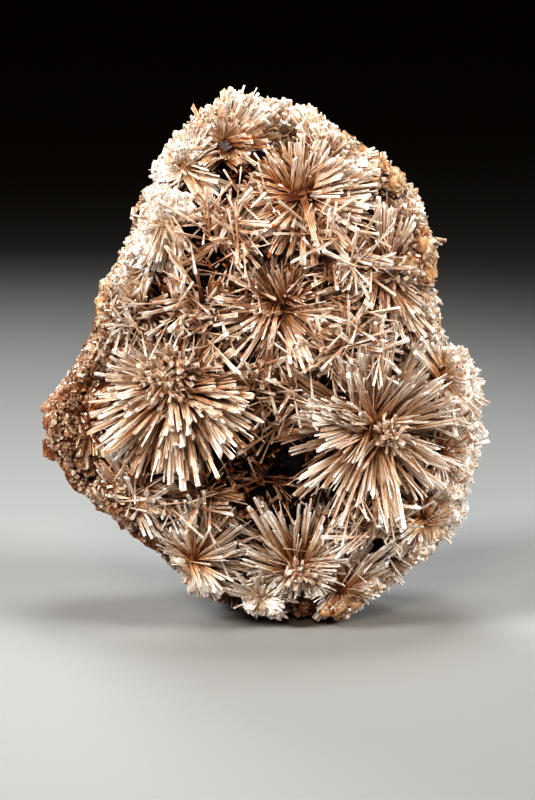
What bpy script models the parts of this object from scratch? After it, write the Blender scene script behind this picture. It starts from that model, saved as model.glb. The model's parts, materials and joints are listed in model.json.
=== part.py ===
"""Aragonite sputnik cluster: radiating sprays of bladed crystals on a lumpy, iron-stained matrix.

The cluster stands upright on a small flat spot of its matrix. X runs to the right, the face with the
large sprays looks along -Y, and Z runs up from the flat spot. Sizes in the tables are millimetres.
"""

import math

import bmesh
import bpy
import numpy as np
from mathutils import Vector, noise
from mathutils.bvhtree import BVHTree

MM = 0.001
SEED = 21
GAP = 0.3  # between one piece and the next
SEAT_GAP = 0.35  # between a core's corners and its seat in the matrix
BLADE_CLEARANCE = 0.35  # between a blade and the matrix that it leans over

# The whole cluster
MIDDLE = (0.0, 3.0, 58.0)
FRONT_DEPTH = 36.0
BACK_DEPTH = 30.0
HALF_SIZES = (48.0, 30.0, 60.0)
EDGE_ROUNDING = 27.0
LOWEST_TIP = 0.25
OUTLINE = (
    (47.5, 57.0), (39.5, 64.8), (38.6, 73.3), (37.6, 83.1), (34.6, 93.5), (26.8, 101.0),
    (17.8, 108.0), (7.6, 116.0), (-5.0, 118.6), (-15.8, 111.0), (-24.2, 100.4), (-28.2, 89.2),
    (-31.5, 80.4), (-36.0, 73.5), (-36.3, 64.7), (-41.0, 56.7), (-48.5, 46.5), (-48.0, 38.0),
    (-43.0, 30.5), (-34.0, 22.5), (-23.4, 14.0), (-15.8, 5.0), (-4.6, 0.6), (7.4, -2.0),
    (19.6, -0.6), (29.6, 7.2), (38.8, 14.8), (46.0, 23.8), (49.0, 35.6), (49.4, 46.6),
)

# Blades of a spray
CORE_SHARE = 0.34  # of the longest blade
SPREAD = math.radians(101)  # how far round from the way out of the cluster blades grow
BLADE_TAPER = 0.42
BLADE_LENGTHS = (0.72, 1.0)  # shares of the longest blade
TIP_SLANT = 0.07
SHORTEST_BLADE = 1.6
LENGTH_STEP = 0.8
UNEVENNESS = 0.35  # how far corners stray from even places, as a share of their spacing
CELL_WEIGHT = 0.62  # how much further a large spray pushes into a small neighbour

# Each spray: the point that its blades radiate from, the length of its longest blade, and how many
# corners its core has
BIG, MEDIUM, SMALL = 46, 26, 16
FRONT_SPRAYS = {
    "big_left_spray": ((-18.3, -19.0, 53.9), 27.0, BIG),
    "right_centre_spray": ((24.3, -19.0, 44.9), 25.0, BIG),
    "centre_spray": ((4.0, -18.0, 71.2), 20.0, MEDIUM),
    "upper_right_centre_spray": ((26.8, -12.0, 76.7), 19.0, MEDIUM),
    "top_centre_spray": ((8.5, -13.0, 94.0), 20.0, MEDIUM),
    "crown_spray": ((-8.0, -4.0, 105.0), 16.0, MEDIUM),
    "white_edge_spray": ((-17.0, -5.0, 100.0), 13.0, SMALL),
    "upper_right_spray": ((14.4, -3.0, 101.0), 15.0, MEDIUM),
    "tan_shoulder_spray": ((25.2, 1.0, 95.0), 12.0, SMALL),
    "left_shoulder_spray": ((-20.0, -8.0, 87.6), 14.0, SMALL),
    "upper_hollow_spray": ((-7.5, -16.0, 84.5), 14.0, SMALL),
    "upper_middle_spray": ((14.0, -17.0, 82.0), 13.0, SMALL),
    "left_middle_spray": ((-12.5, -18.0, 71.0), 13.0, SMALL),
    "left_rim_spray": ((-25.5, -4.0, 77.7), 12.0, SMALL),
    "left_waist_spray": ((-26.0, -12.0, 68.6), 13.0, SMALL),
    "left_spike_spray": ((-32.0, -5.0, 61.0), 12.0, SMALL),
    "left_tip_spray": ((-39.0, -6.0, 46.7), 11.0, SMALL),
    "small_star_spray": ((-28.0, -12.0, 30.0), 13.0, SMALL),
    "middle_spray": ((3.5, -16.5, 52.5), 14.0, SMALL),
    "hollow_spray": ((1.5, -17.0, 33.0), 16.0, SMALL),
    "lower_left_spray": ((-12.5, -16.0, 29.0), 14.0, SMALL),
    "lower_middle_spray": ((21.0, -16.0, 25.5), 14.0, SMALL),
    "middle_right_spray": ((18.0, -19.0, 62.5), 14.0, SMALL),
    "right_shoulder_spray": ((32.0, -2.0, 85.5), 12.0, SMALL),
    "right_waist_spray": ((33.5, -6.0, 66.5), 13.0, SMALL),
    "right_edge_spray": ((39.0, -6.0, 54.5), 15.0, MEDIUM),
    "right_lower_spray": ((39.0, -6.0, 38.0), 15.0, MEDIUM),
    "lower_right_spray": ((35.5, -5.0, 22.5), 15.0, MEDIUM),
    "lower_right_rim_spray": ((27.5, -3.0, 13.5), 12.0, SMALL),
    "bottom_centre_spray": ((7.5, -16.5, 14.5), 19.0, MEDIUM),
    "bottom_left_spray": ((-14.5, -11.0, 16.0), 15.0, MEDIUM),
    "bottom_middle_spray": ((-3.0, -11.5, 8.0), 13.0, SMALL),
    "bottom_right_spray": ((17.5, -9.0, 8.0), 14.0, SMALL),
}
BACK_SPRAYS = {
    "back_crown_spray": ((3.0, 12.0, 103.0), 15.0, SMALL),
    "back_shoulder_spray": ((23.0, 13.0, 87.0), 15.0, SMALL),
    "back_upper_spray": ((3.0, 19.0, 84.0), 16.0, SMALL),
    "back_upper_left_spray": ((-17.0, 14.0, 88.0), 15.0, SMALL),
    "back_middle_spray": ((11.0, 20.0, 65.0), 16.0, MEDIUM),
    "back_left_spray": ((-24.0, 14.0, 67.0), 15.0, SMALL),
    "back_right_spray": ((28.5, 14.0, 70.5), 14.0, SMALL),
    "back_centre_spray": ((-7.0, 21.0, 54.0), 16.0, SMALL),
    "back_side_spray": ((38.0, 11.0, 43.0), 15.0, SMALL),
    "back_lower_spray": ((15.0, 20.0, 42.0), 15.0, SMALL),
    "back_lower_left_spray": ((-12.0, 18.0, 33.0), 14.0, SMALL),
    "back_corner_spray": ((32.0, 12.0, 24.0), 14.0, SMALL),
    "back_foot_spray": ((8.0, 20.0, 21.0), 13.0, SMALL),
}

WHITE_SPRAYS = (
    "white_edge_spray", "left_shoulder_spray", "right_edge_spray", "right_lower_spray",
    "lower_right_spray", "bottom_middle_spray",
)

# Matrix
MATRIX_CORNERS = 400
LUMP_SIZE = 9.0
LUMP_HEIGHT = 1.2
SEAT_BLEND = 0.02  # how gently the matrix passes from one seat's reach to the next one's
SEAT_RISE = 0.30  # how far a core's middle stands clear of the matrix, as a share of the core
VALLEY_DEPTH = 8.0  # between the sprays
VALLEY_START = 6.0  # distance from a spray's middle
VALLEY_WIDTH = 8.0
BARE_PLACES = (  # where the matrix itself reaches the outside, and how far it does
    ((-46.0, 1.0, 40.0), 0.95), ((-41.0, 1.0, 31.5), 0.94), ((-33.0, 2.0, 24.5), 0.93),
    ((-43.0, 6.0, 50.0), 0.90), ((-24.0, 3.0, 16.5), 0.92), ((-38.0, 14.0, 40.0), 0.90),
    ((-26.0, 15.0, 22.0), 0.90), ((-34.0, 15.0, 52.0), 0.86),
)
FOOT_CENTRE = (6.0, 9.0)
FOOT_HALF_SIZE = (15.0, 10.5)
FOOT_POINTS = 8
FOOT_DIP = -3.0  # how far below the cut the matrix would reach
KNOB_RADIUS = (3.0, 4.6)
KNOB_SINK = 0.35  # share of the radius
KNOB_UNEVENNESS = 0.12
KNOB_SPACING = 15.0
KNOB_OUTLINE_SPAN = (15, 21)  # the stretch of the outline with bare lumpy matrix
KNOB_ROWS = (-6.0, 0.5, 7.0)
STUB_SHARE = 0.15  # of the matrix's faces in the valleys
STUB_HEIGHT = (2.0, 5.0)
STUB_TAPER = 0.55
STUB_DISTANCE = 8.0  # from a spray's middle
STUB_LOWEST = 4.0


def material(name, colour, roughness):
    made = bpy.data.materials.new(name)
    made.use_nodes = True
    shader = made.node_tree.nodes["Principled BSDF"]
    shader.inputs["Base Color"].default_value = (*colour, 1.0)
    shader.inputs["Roughness"].default_value = roughness
    shader.inputs["Metallic"].default_value = 0.0
    made.diffuse_color = (*colour, 1.0)
    return made


def add_object(name, bm, surface):
    """An object from a mesh in millimetres."""
    bmesh.ops.scale(bm, vec=(MM, MM, MM), verts=bm.verts)
    bmesh.ops.recalc_face_normals(bm, faces=bm.faces)
    mesh = bpy.data.meshes.new(name)
    bm.to_mesh(mesh)
    bm.free()
    mesh.materials.append(surface)
    made = bpy.data.objects.new(name, mesh)
    bpy.context.scene.collection.objects.link(made)
    return made


def even_directions(count, rng):
    """Directions spread evenly over a sphere along a golden spiral, each shifted a little."""
    directions = []
    turn = math.pi * (3.0 - math.sqrt(5.0))
    start = rng.uniform(0.0, math.tau)
    for index in range(count):
        height = 1.0 - 2.0 * (index + 0.5) / count
        ring = math.sqrt(1.0 - height * height)
        angle = start + turn * index
        even = Vector((ring * math.cos(angle), ring * math.sin(angle), height))
        shift = Vector(rng.normal(0.0, UNEVENNESS / math.sqrt(count), 3))
        directions.append((even + shift).normalized())
    return directions


def add_hull(bm, places):
    """A faceted ball through the outermost of the given places."""
    for place in places:
        bm.verts.new(place)
    hull = bmesh.ops.convex_hull(bm, input=bm.verts)
    loose = [item for item in hull["geom_interior"] if isinstance(item, bmesh.types.BMVert)]
    bmesh.ops.delete(bm, geom=loose, context="VERTS")


# Outer shape: a pillow over the outline

def distance_inside(points):
    """How far points lie inside the outline, seen from the front; negative outside it."""
    corners = np.array(OUTLINE)
    flat = points[:, [0, 2]]
    nearest = np.full(len(flat), np.inf)
    crossings = np.zeros(len(flat), int)
    for start, end in zip(corners, np.roll(corners, -1, axis=0)):
        side = end - start
        along = np.clip((flat - start) @ side / (side @ side), 0.0, 1.0)
        nearest = np.minimum(nearest, np.linalg.norm(flat - start - along[:, None] * side, axis=1))
        spans = (start[1] > flat[:, 1]) != (end[1] > flat[:, 1])
        rise = side[1] if side[1] else 1.0
        left_of = flat[:, 0] < start[0] + (flat[:, 1] - start[1]) / rise * side[0]
        crossings += spans & left_of
    return np.where(crossings % 2 == 1, nearest, -nearest)


def inside_envelope(points):
    depth = distance_inside(points)
    fullness = np.sqrt(1.0 - (1.0 - np.clip(depth / EDGE_ROUNDING, 0.0, 1.0)) ** 2)
    in_front = points[:, 1] > -FRONT_DEPTH * fullness
    in_back = points[:, 1] < BACK_DEPTH * fullness
    return (depth > 0.0) & in_front & in_back


def envelope_distance(direction):
    """How far the outer shape reaches from the middle in a direction."""
    steps = np.arange(4.0, 80.0, 0.4)
    points = np.array(MIDDLE) + steps[:, None] * np.array(direction)
    outside = ~inside_envelope(points)
    return steps[int(np.argmax(outside))]


def facing_of(centre):
    """The way out of the cluster at a point, as on an ellipsoid of the cluster's proportions."""
    offset = Vector(centre) - Vector(MIDDLE)
    return Vector([along / half ** 2 for along, half in zip(offset, HALF_SIZES)]).normalized()


# Matrix

def seat_of(centre, reach):
    """Where the matrix's surface lies under a spray's core."""
    return Vector(centre) - facing_of(centre) * reach * CORE_SHARE * SEAT_RISE


def share_at(place):
    """The direction of a place from the middle, and its distance as a share of the outer shape's."""
    offset = Vector(place) - Vector(MIDDLE)
    direction = offset.normalized()
    return direction, offset.length / envelope_distance(direction)


def foot_places():
    """The rim and the middle of the flat spot, a little below the resting plane."""
    places = [(*FOOT_CENTRE, FOOT_DIP)]
    for index in range(FOOT_POINTS):
        angle = math.tau * index / FOOT_POINTS
        places.append((
            FOOT_CENTRE[0] + FOOT_HALF_SIZE[0] * math.cos(angle),
            FOOT_CENTRE[1] + FOOT_HALF_SIZE[1] * math.sin(angle),
            FOOT_DIP,
        ))
    return places


def matrix_seats(sprays):
    """Directions from the middle with the matrix's reach there, as a share of the outer shape's."""
    seats = [share_at(seat_of(centre, reach)) for centre, reach, _ in sprays.values()]
    for place, share in BARE_PLACES:
        seats.append((share_at(place)[0], share))
    seats += [share_at(place) for place in foot_places()]
    return seats


def nearest_distance(place, others):
    return min((place - Vector(other)).length for other in others)


def matrix_body(sprays, surface, rng):
    seats = matrix_seats(sprays)
    directions = np.array([direction[:] for direction, _ in seats])
    shares = np.array([share for _, share in seats])
    middles = [centre for centre, _, _ in sprays.values()]
    raised = middles + [place for place, _ in BARE_PLACES] + foot_places()
    bm = bmesh.new()
    add_hull(bm, even_directions(MATRIX_CORNERS, rng))
    for vert in bm.verts:
        direction = vert.co.normalized()
        weights = 1.0 / (1.0 + SEAT_BLEND - directions @ np.array(direction)) ** 3
        share = float(weights @ shares / weights.sum())
        reach = share * envelope_distance(direction)
        place = Vector(MIDDLE) + direction * reach
        away = (nearest_distance(place, raised) - VALLEY_START) / VALLEY_WIDTH
        away = min(max(away, 0.0), 1.0)
        valley = VALLEY_DEPTH * away * away * (3.0 - 2.0 * away)
        lump = noise.noise(place / LUMP_SIZE) * LUMP_HEIGHT
        vert.co = place + direction * (lump - valley)
    cut_base(bm)
    grow_stubs(bm, middles, rng)
    return add_object("rusty_matrix", bm, surface)


def grow_stubs(bm, middles, rng):
    """Short blunt crystals that cover the matrix between the sprays."""
    bare_places = [place for place, _ in BARE_PLACES]
    for face in list(bm.faces):
        root = face.calc_center_median()
        outward = (root - Vector(MIDDLE)).normalized()
        chance, height = rng.uniform(), rng.uniform(*STUB_HEIGHT)
        low = root.z + outward.z * height < STUB_LOWEST
        bare = nearest_distance(root, bare_places) < STUB_DISTANCE
        if chance > STUB_SHARE or bare or low or nearest_distance(root, middles) < STUB_DISTANCE:
            continue
        grown = bmesh.ops.extrude_discrete_faces(bm, faces=[face])["faces"][0]
        for vert in grown.verts:
            vert.co = root + (vert.co - root) * STUB_TAPER + outward * height


def cut_base(bm):
    """Takes off what lies below the resting plane and closes the cut with one flat face."""
    geometry = bm.verts[:] + bm.edges[:] + bm.faces[:]
    cut = bmesh.ops.bisect_plane(
        bm, geom=geometry, plane_co=(0, 0, 0), plane_no=(0, 0, 1), clear_inner=True
    )
    rim = [item for item in cut["geom_cut"] if isinstance(item, bmesh.types.BMEdge)]
    bmesh.ops.contextual_create(bm, geom=rim)


def add_knobs(matrix, surface, rng):
    """Grape-like lumps along the bare rim, fused to the matrix."""
    knobs = bpy.data.collections.new("rim_knobs")
    bpy.context.scene.collection.children.link(knobs)
    corners = np.array(OUTLINE[KNOB_OUTLINE_SPAN[0]:KNOB_OUTLINE_SPAN[1] + 1])
    for row, depth in enumerate(KNOB_ROWS):
        for start, end in zip(corners, corners[1:]):
            count = max(1, round(float(np.linalg.norm(end - start)) / KNOB_SPACING))
            for index in range(count):
                along = (index + 0.5 * (row % 2) + rng.uniform(0.0, 0.4)) / count
                spot = start + (end - start) * along
                add_knob(matrix, knobs, (spot[0], depth, spot[1]), rng, surface)
    fuse = matrix.modifiers.new("Fuse knobs", "BOOLEAN")
    fuse.operation = "UNION"
    fuse.operand_type = "COLLECTION"
    fuse.collection = knobs
    fuse.solver = "EXACT"


def add_knob(matrix, knobs, spot, rng, surface):
    direction = (Vector(spot) - Vector(MIDDLE)).normalized()
    hit, _, _, _ = surface.ray_cast(Vector(MIDDLE), direction)
    radius = rng.uniform(*KNOB_RADIUS)
    centre = hit - direction * radius * KNOB_SINK
    bm = bmesh.new()
    bmesh.ops.create_icosphere(bm, subdivisions=1, radius=radius)
    for vert in bm.verts:
        vert.co *= 1.0 + KNOB_UNEVENNESS * noise.noise(vert.co / radius + Vector(spot))
    bmesh.ops.translate(bm, vec=centre, verts=bm.verts)
    made = add_object(f"rim_knob_{len(knobs.objects) + 1}", bm, matrix.data.materials[0])
    as_helper(made, knobs)


def as_helper(made, collection):
    bpy.context.scene.collection.objects.unlink(made)
    collection.objects.link(made)
    made.hide_render = True
    made.display_type = "WIRE"


def surface_of(matrix):
    """The matrix's surface as it is now, in millimetres."""
    graph = bpy.context.evaluated_depsgraph_get()
    mesh = matrix.evaluated_get(graph).to_mesh()
    places = [vert.co / MM for vert in mesh.vertices]
    faces = [face.vertices[:] for face in mesh.polygons]
    return BVHTree.FromPolygons(places, faces)


# Sprays

def cell_walls(name, sprays):
    """Planes between this spray and each of the others, where their crystals met as they grew."""
    centre, reach, _ = sprays[name]
    own = np.array(centre)
    walls = []
    for other, (place, other_reach, _) in sprays.items():
        if other == name:
            continue
        between = np.array(place) - own
        distance = float(np.linalg.norm(between))
        difference = (reach ** 2 - other_reach ** 2) * CELL_WEIGHT ** 2
        along = (distance ** 2 + difference) / (2.0 * distance)
        walls.append((*(between / distance), along - GAP / 2))
    return np.array(walls)


class Room:
    """The space that one spray may fill."""

    def __init__(self, name, sprays, surface):
        self.centre = np.array(sprays[name][0])
        self.walls = cell_walls(name, sprays)
        self.surface = surface

    def in_cell(self, points):
        beyond = (points - self.centre) @ self.walls[:, :3].T - self.walls[:, 3]
        return bool((beyond < 0.0).all()) and bool((points[:, 2] > LOWEST_TIP).all())

    def clear_of_matrix(self, roots, tips):
        """Whether a blade, made a little thicker, neither cuts the matrix nor lies inside it."""
        thicker = []
        for corners in (roots, tips):
            middle = corners.mean(axis=0)
            away = corners - middle
            away /= np.linalg.norm(away, axis=1)[:, None]
            thicker += [Vector(corner) for corner in corners + away * BLADE_CLEARANCE]
        sides = ((0, 1, 4, 3), (1, 2, 5, 4), (2, 0, 3, 5), (3, 4, 5), (0, 1, 2))
        if BVHTree.FromPolygons(thicker, sides).overlap(self.surface):
            return False
        offset = Vector(tips.mean(axis=0)) - Vector(MIDDLE)
        hit, _, _, _ = self.surface.ray_cast(Vector(MIDDLE), offset.normalized())
        return hit is None or offset.length > (hit - Vector(MIDDLE)).length

    def holds(self, roots, tips):
        along = np.linspace(0.1, 1.0, 7)[:, None]
        lines = np.concatenate([root + along * (tip - root) for root, tip in zip(roots, tips)])
        inside = self.in_cell(lines) and bool(inside_envelope(lines).all())
        return inside and self.clear_of_matrix(roots, tips)


def spray_core(room, reach, corners, rng):
    """The grown-together heart of a spray, a faceted ball cut off where it meets its neighbours."""
    bm = bmesh.new()
    places = []
    for direction in even_directions(corners, rng):
        length = reach * CORE_SHARE
        while not room.in_cell(room.centre + length * np.array([direction[:]])):
            length -= 0.2
        places.append(Vector(room.centre) + direction * length)
    add_hull(bm, places)
    return bm


def blade_tip(room, face, reach, rng):
    """The corners of a blade's tip over one face of the core, or None where there is no room."""
    centre = Vector(room.centre)
    root = face.calc_center_median()
    axis = (root - centre).normalized()
    roots = np.array([vert.co[:] for vert in face.verts])
    spread = (roots - np.array(root)) * BLADE_TAPER
    slants = rng.uniform(-TIP_SLANT, TIP_SLANT, 3) * reach
    length = reach * rng.uniform(*BLADE_LENGTHS)
    shortest = (root - centre).length + SHORTEST_BLADE
    while length > shortest:
        tips = room.centre + spread + np.array(axis) * (length + slants[:, None])
        if room.holds(roots, tips):
            return tips
        length -= LENGTH_STEP
    return None


def grow_spray(name, sprays, surface, material_of_spray, rng):
    centre, reach, corners = sprays[name]
    room = Room(name, sprays, surface)
    facing = facing_of(centre)
    bm = spray_core(room, reach, corners, rng)
    seat = bm.copy()
    outward = [
        face for face in bm.faces
        if (face.calc_center_median() - Vector(centre)).angle(facing) < SPREAD
    ]
    for face in outward:
        tips = blade_tip(room, face, reach, rng)
        if tips is None:
            continue
        places = {vert.co.copy().freeze(): Vector(tip) for vert, tip in zip(face.verts, tips)}
        grown = bmesh.ops.extrude_discrete_faces(bm, faces=[face])["faces"][0]
        for vert in grown.verts:
            vert.co = places[vert.co.copy().freeze()]
    add_object(name, bm, material_of_spray)
    return seat


def cut_seats(matrix, seats):
    """Cuts the socket of each spray's core from the matrix, a little larger than the core."""
    cutters = bpy.data.collections.new("spray_seats")
    bpy.context.scene.collection.children.link(cutters)
    for name, (bm, centre, core) in seats.items():
        bmesh.ops.translate(bm, vec=-Vector(centre), verts=bm.verts)
        bmesh.ops.scale(bm, vec=[1.0 + SEAT_GAP / core] * 3, verts=bm.verts)
        bmesh.ops.translate(bm, vec=Vector(centre), verts=bm.verts)
        as_helper(add_object(f"{name}_seat", bm, matrix.data.materials[0]), cutters)
    cut = matrix.modifiers.new("Spray seats", "BOOLEAN")
    cut.operation = "DIFFERENCE"
    cut.operand_type = "COLLECTION"
    cut.collection = cutters
    cut.solver = "EXACT"


def centre_on_origin():
    """Moves everything so that the middle of the outer box stands over the origin."""
    graph = bpy.context.evaluated_depsgraph_get()
    shown = [item.evaluated_get(graph) for item in bpy.data.objects if not item.hide_render]
    places = np.array([corner[:] for item in shown for corner in item.bound_box])
    middle = (places.min(axis=0) + places.max(axis=0)) / 2.0
    for item in bpy.data.objects:
        item.location = (-middle[0], -middle[1], 0.0)


def main():
    for item in list(bpy.data.objects):
        bpy.data.objects.remove(item, do_unlink=True)
    rng = np.random.default_rng(SEED)
    rust = material("iron_stained_matrix", (0.27, 0.13, 0.08), 0.85)
    ivory = material("ivory_aragonite", (0.70, 0.50, 0.32), 0.35)
    white = material("white_aragonite", (0.80, 0.70, 0.58), 0.35)
    sprays = {**FRONT_SPRAYS, **BACK_SPRAYS}

    matrix = matrix_body(sprays, rust, rng)
    add_knobs(matrix, surface_of(matrix), rng)
    surface = surface_of(matrix)

    seats = {}
    for name, (centre, reach, _) in sprays.items():
        crystal = white if name in WHITE_SPRAYS else ivory
        seat = grow_spray(name, sprays, surface, crystal, rng)
        seats[name] = (seat, centre, reach * CORE_SHARE)
    cut_seats(matrix, seats)
    centre_on_origin()


main()
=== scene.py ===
# %% [markdown]
# # Aragonite sputnik cluster
#
# Aragonite that grows in an iron ore vein forms small suns: hundreds of thin blades that all start from one
# point and stop where they meet the blades of the next sun. This specimen is a crowd of such sprays on a
# rusty matrix. The construction model gives every spray a coarse solid. This script dresses each one with
# its real crystals. Loading the model first gives us the frame that every piece has to fit.

# %% Load the frame
import json
import math

import bpy
import numpy as np
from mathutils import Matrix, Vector, noise
from mathutils.bvhtree import BVHTree

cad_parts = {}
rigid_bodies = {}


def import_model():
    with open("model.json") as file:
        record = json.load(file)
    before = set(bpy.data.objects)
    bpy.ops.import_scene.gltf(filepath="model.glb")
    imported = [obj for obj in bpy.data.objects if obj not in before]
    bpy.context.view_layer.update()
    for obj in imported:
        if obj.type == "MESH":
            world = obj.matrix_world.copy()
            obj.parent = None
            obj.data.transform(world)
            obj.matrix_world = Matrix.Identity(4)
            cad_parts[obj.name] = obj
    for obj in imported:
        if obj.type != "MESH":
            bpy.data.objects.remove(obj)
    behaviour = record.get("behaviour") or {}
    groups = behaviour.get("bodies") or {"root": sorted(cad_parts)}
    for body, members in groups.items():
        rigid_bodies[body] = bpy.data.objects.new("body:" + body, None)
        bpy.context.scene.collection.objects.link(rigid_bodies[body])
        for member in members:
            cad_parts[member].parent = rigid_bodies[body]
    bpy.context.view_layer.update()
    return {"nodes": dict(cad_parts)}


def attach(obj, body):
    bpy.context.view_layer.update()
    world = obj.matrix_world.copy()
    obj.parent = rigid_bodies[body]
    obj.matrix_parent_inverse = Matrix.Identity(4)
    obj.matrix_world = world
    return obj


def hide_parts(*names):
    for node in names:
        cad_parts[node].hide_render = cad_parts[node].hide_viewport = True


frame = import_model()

MM = 0.001

# %% [markdown]
# ## Camera
#
# The photograph looks straight at the face with the large sprays, from a little above. One of its pixels is
# 0.223 mm on the specimen. A long lens from 60 cm keeps the outline as calm as a specimen photograph has
# it; a short lens would make the nearest sprays swell.

# %% Camera
IMAGE_HEIGHT = 800  # pixels
PIXEL = 0.223 * MM
CAMERA_DISTANCE = 0.60
CAMERA_ELEVATION = math.radians(9.0)
LOOK_AT = Vector((0.0002, 0.0030, 0.0477))
SENSOR = 36.0

camera_data = bpy.data.cameras.new("camera")
camera_data.sensor_width = SENSOR
camera_data.lens = SENSOR * CAMERA_DISTANCE / (IMAGE_HEIGHT * PIXEL)
camera_data.clip_start = 0.01
camera_data.clip_end = 500.0
camera = bpy.data.objects.new("camera", camera_data)
bpy.context.scene.collection.objects.link(camera)
towards = Vector((0.0, math.cos(CAMERA_ELEVATION), -math.sin(CAMERA_ELEVATION)))
camera.location = LOOK_AT - towards * CAMERA_DISTANCE
camera.rotation_euler = towards.to_track_quat("-Z", "Y").to_euler()
bpy.context.scene.camera = camera
print("lens", round(camera_data.lens, 1), "mm")

# %% [markdown]
# ## Node helpers
#
# Every colour below is written as an sRGB hex value, the way a colour picker shows it. Shaders work in
# linear light, so one function converts them. A second function adds a node, sets its values, makes its
# links and, for a colour ramp, places its stops.

# %% Node helpers


def linear(hex_colour):
    """A linear RGBA colour from an sRGB hex value."""
    channels = [int(hex_colour[i:i + 2], 16) / 255 for i in (1, 3, 5)]
    return (*[c / 12.92 if c <= 0.04045 else ((c + 0.055) / 1.055) ** 2.4 for c in channels], 1.0)


def add_node(tree, kind, values=None, links=None, stops=(), **settings):
    """A node with its settings, its input values, the outputs that feed it, and a ramp's stops."""
    node = tree.nodes.new(kind)
    for key, value in settings.items():
        setattr(node, key, value)
    for key, value in (values or {}).items():
        node.inputs[key].default_value = value
    for key, source in (links or {}).items():
        tree.links.new(source, node.inputs[key])
    while stops and len(node.color_ramp.elements) < len(stops):
        node.color_ramp.elements.new(0.5)
    for number, (position, hex_colour) in enumerate(stops):
        node.color_ramp.elements[number].position = position
        node.color_ramp.elements[number].color = linear(hex_colour)
    return node


def new_material(name, **values):
    """A material with only a Principled shader, its tree and the shader node."""
    made = bpy.data.materials.new(name)
    made.use_nodes = True
    shader = made.node_tree.nodes["Principled BSDF"]
    for key, value in values.items():
        shader.inputs[key.replace("_", " ")].default_value = value
    return made, made.node_tree, shader


FIRST, SECOND, MIXED = 6, 7, 2  # a Mix node's two colour inputs, and its colour output
print("white is", linear("#FFFFFF")[:3])

# %% [markdown]
# ## Floor and light
#
# A plain pale floor and soft studio light, as for a specimen photograph. Two neutral boxes from the upper
# left and right give each blade a bright edge and a shaded side, and a weaker warm one fills in from the
# front. The boxes have honeycomb grids, so little light falls beside the specimen, and the gaps between the
# sprays stay deep. Gamma and exposure give the contrast of a photograph. The floor's far edge lies out of
# view.

# %% Floor and light
FLOOR_SIZE, FLOOR_HEIGHT = 300.0, -0.0002  # metres; the floor lies a hair below the specimen's flat spot
COOL, WARM = (0.89, 0.955, 1.0), (1.0, 0.88, 0.72)
SOFTBOXES = (  # name, place, size, power in watts, colour of its light
    ("left_box", (-0.66, -0.44, 0.60), 0.30, 1.32, COOL),
    ("right_box", (0.70, -0.30, 0.46), 0.30, 1.04, COOL),
    ("front_box", (-0.10, -0.85, 0.50), 0.26, 0.54, WARM),
    ("top_box", (0.05, 0.20, 0.85), 0.36, 0.52, COOL),
    ("back_box", (-0.35, 0.85, 0.50), 0.40, 0.90, COOL),
)
GRID_ANGLE = math.radians(75)  # how wide a box shines through its honeycomb grid
ROOM_LIGHT = 0.012  # what comes back from the warm walls of the room
GAMMA, EXPOSURE = 0.64, 0.43

bpy.ops.object.select_all(action="DESELECT")
bpy.ops.mesh.primitive_plane_add(size=FLOOR_SIZE, location=(0, 0, FLOOR_HEIGHT))
floor = bpy.context.object
floor.name = "floor"
paper, _, _ = new_material("pale_studio_paper", Roughness=0.85, Base_Color=linear("#AAA6A2"))
floor.data.materials.append(paper)

for light_name, place, size, power, tint in SOFTBOXES:
    data = bpy.data.lights.new(light_name, "AREA")
    data.size = size
    data.spread = GRID_ANGLE
    data.energy = power
    data.color = tint
    light = bpy.data.objects.new(light_name, data)
    light.location = place
    light.rotation_euler = (LOOK_AT - Vector(place)).to_track_quat("-Z", "Y").to_euler()
    bpy.context.scene.collection.objects.link(light)

world = bpy.data.worlds.new("studio")
world.use_nodes = True
world.node_tree.nodes["Background"].inputs["Color"].default_value = linear("#FFC898")
world.node_tree.nodes["Background"].inputs["Strength"].default_value = ROOM_LIGHT
bpy.context.scene.world = world
bpy.context.scene.view_settings.view_transform = "Standard"
bpy.context.scene.view_settings.gamma = GAMMA
bpy.context.scene.view_settings.exposure = EXPOSURE
print(len(SOFTBOXES), "softboxes")

# %% [markdown]
# ## The shape that the tips fill
#
# All the tips together end on one rounded shape, a pillow whose outline is the photograph's. The
# construction model uses the same outline, in millimetres, so the crystals below end where the solids do.

# %% The outer shape
SHIFT = np.array((-1.0, 3.0, 0.0))  # from the outline's own zero to the frame's origin
MIDDLE = np.array((0.0, 3.0, 58.0))
HALF_SIZES = np.array((48.0, 30.0, 60.0))
FRONT_DEPTH, BACK_DEPTH, EDGE_ROUNDING = 36.0, 30.0, 27.0
NOTCH_DEPTH, NOTCH_SIZE = 0.28, 4.5  # share of the room, and mm, of the notches between groups of tips
OUTLINE = np.array((
    (47.5, 57.0), (39.5, 64.8), (38.6, 73.3), (37.6, 83.1), (34.6, 93.5), (26.8, 101.0),
    (17.8, 108.0), (7.6, 116.0), (-5.0, 118.6), (-15.8, 111.0), (-24.2, 100.4), (-28.2, 89.2),
    (-31.5, 80.4), (-36.0, 73.5), (-36.3, 64.7), (-41.0, 56.7), (-48.5, 46.5), (-48.0, 38.0),
    (-43.0, 30.5), (-34.0, 22.5), (-23.4, 14.0), (-15.8, 5.0), (-4.6, 0.6), (7.4, -2.0),
    (19.6, -0.6), (29.6, 7.2), (38.8, 14.8), (46.0, 23.8), (49.0, 35.6), (49.4, 46.6),
))


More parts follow.
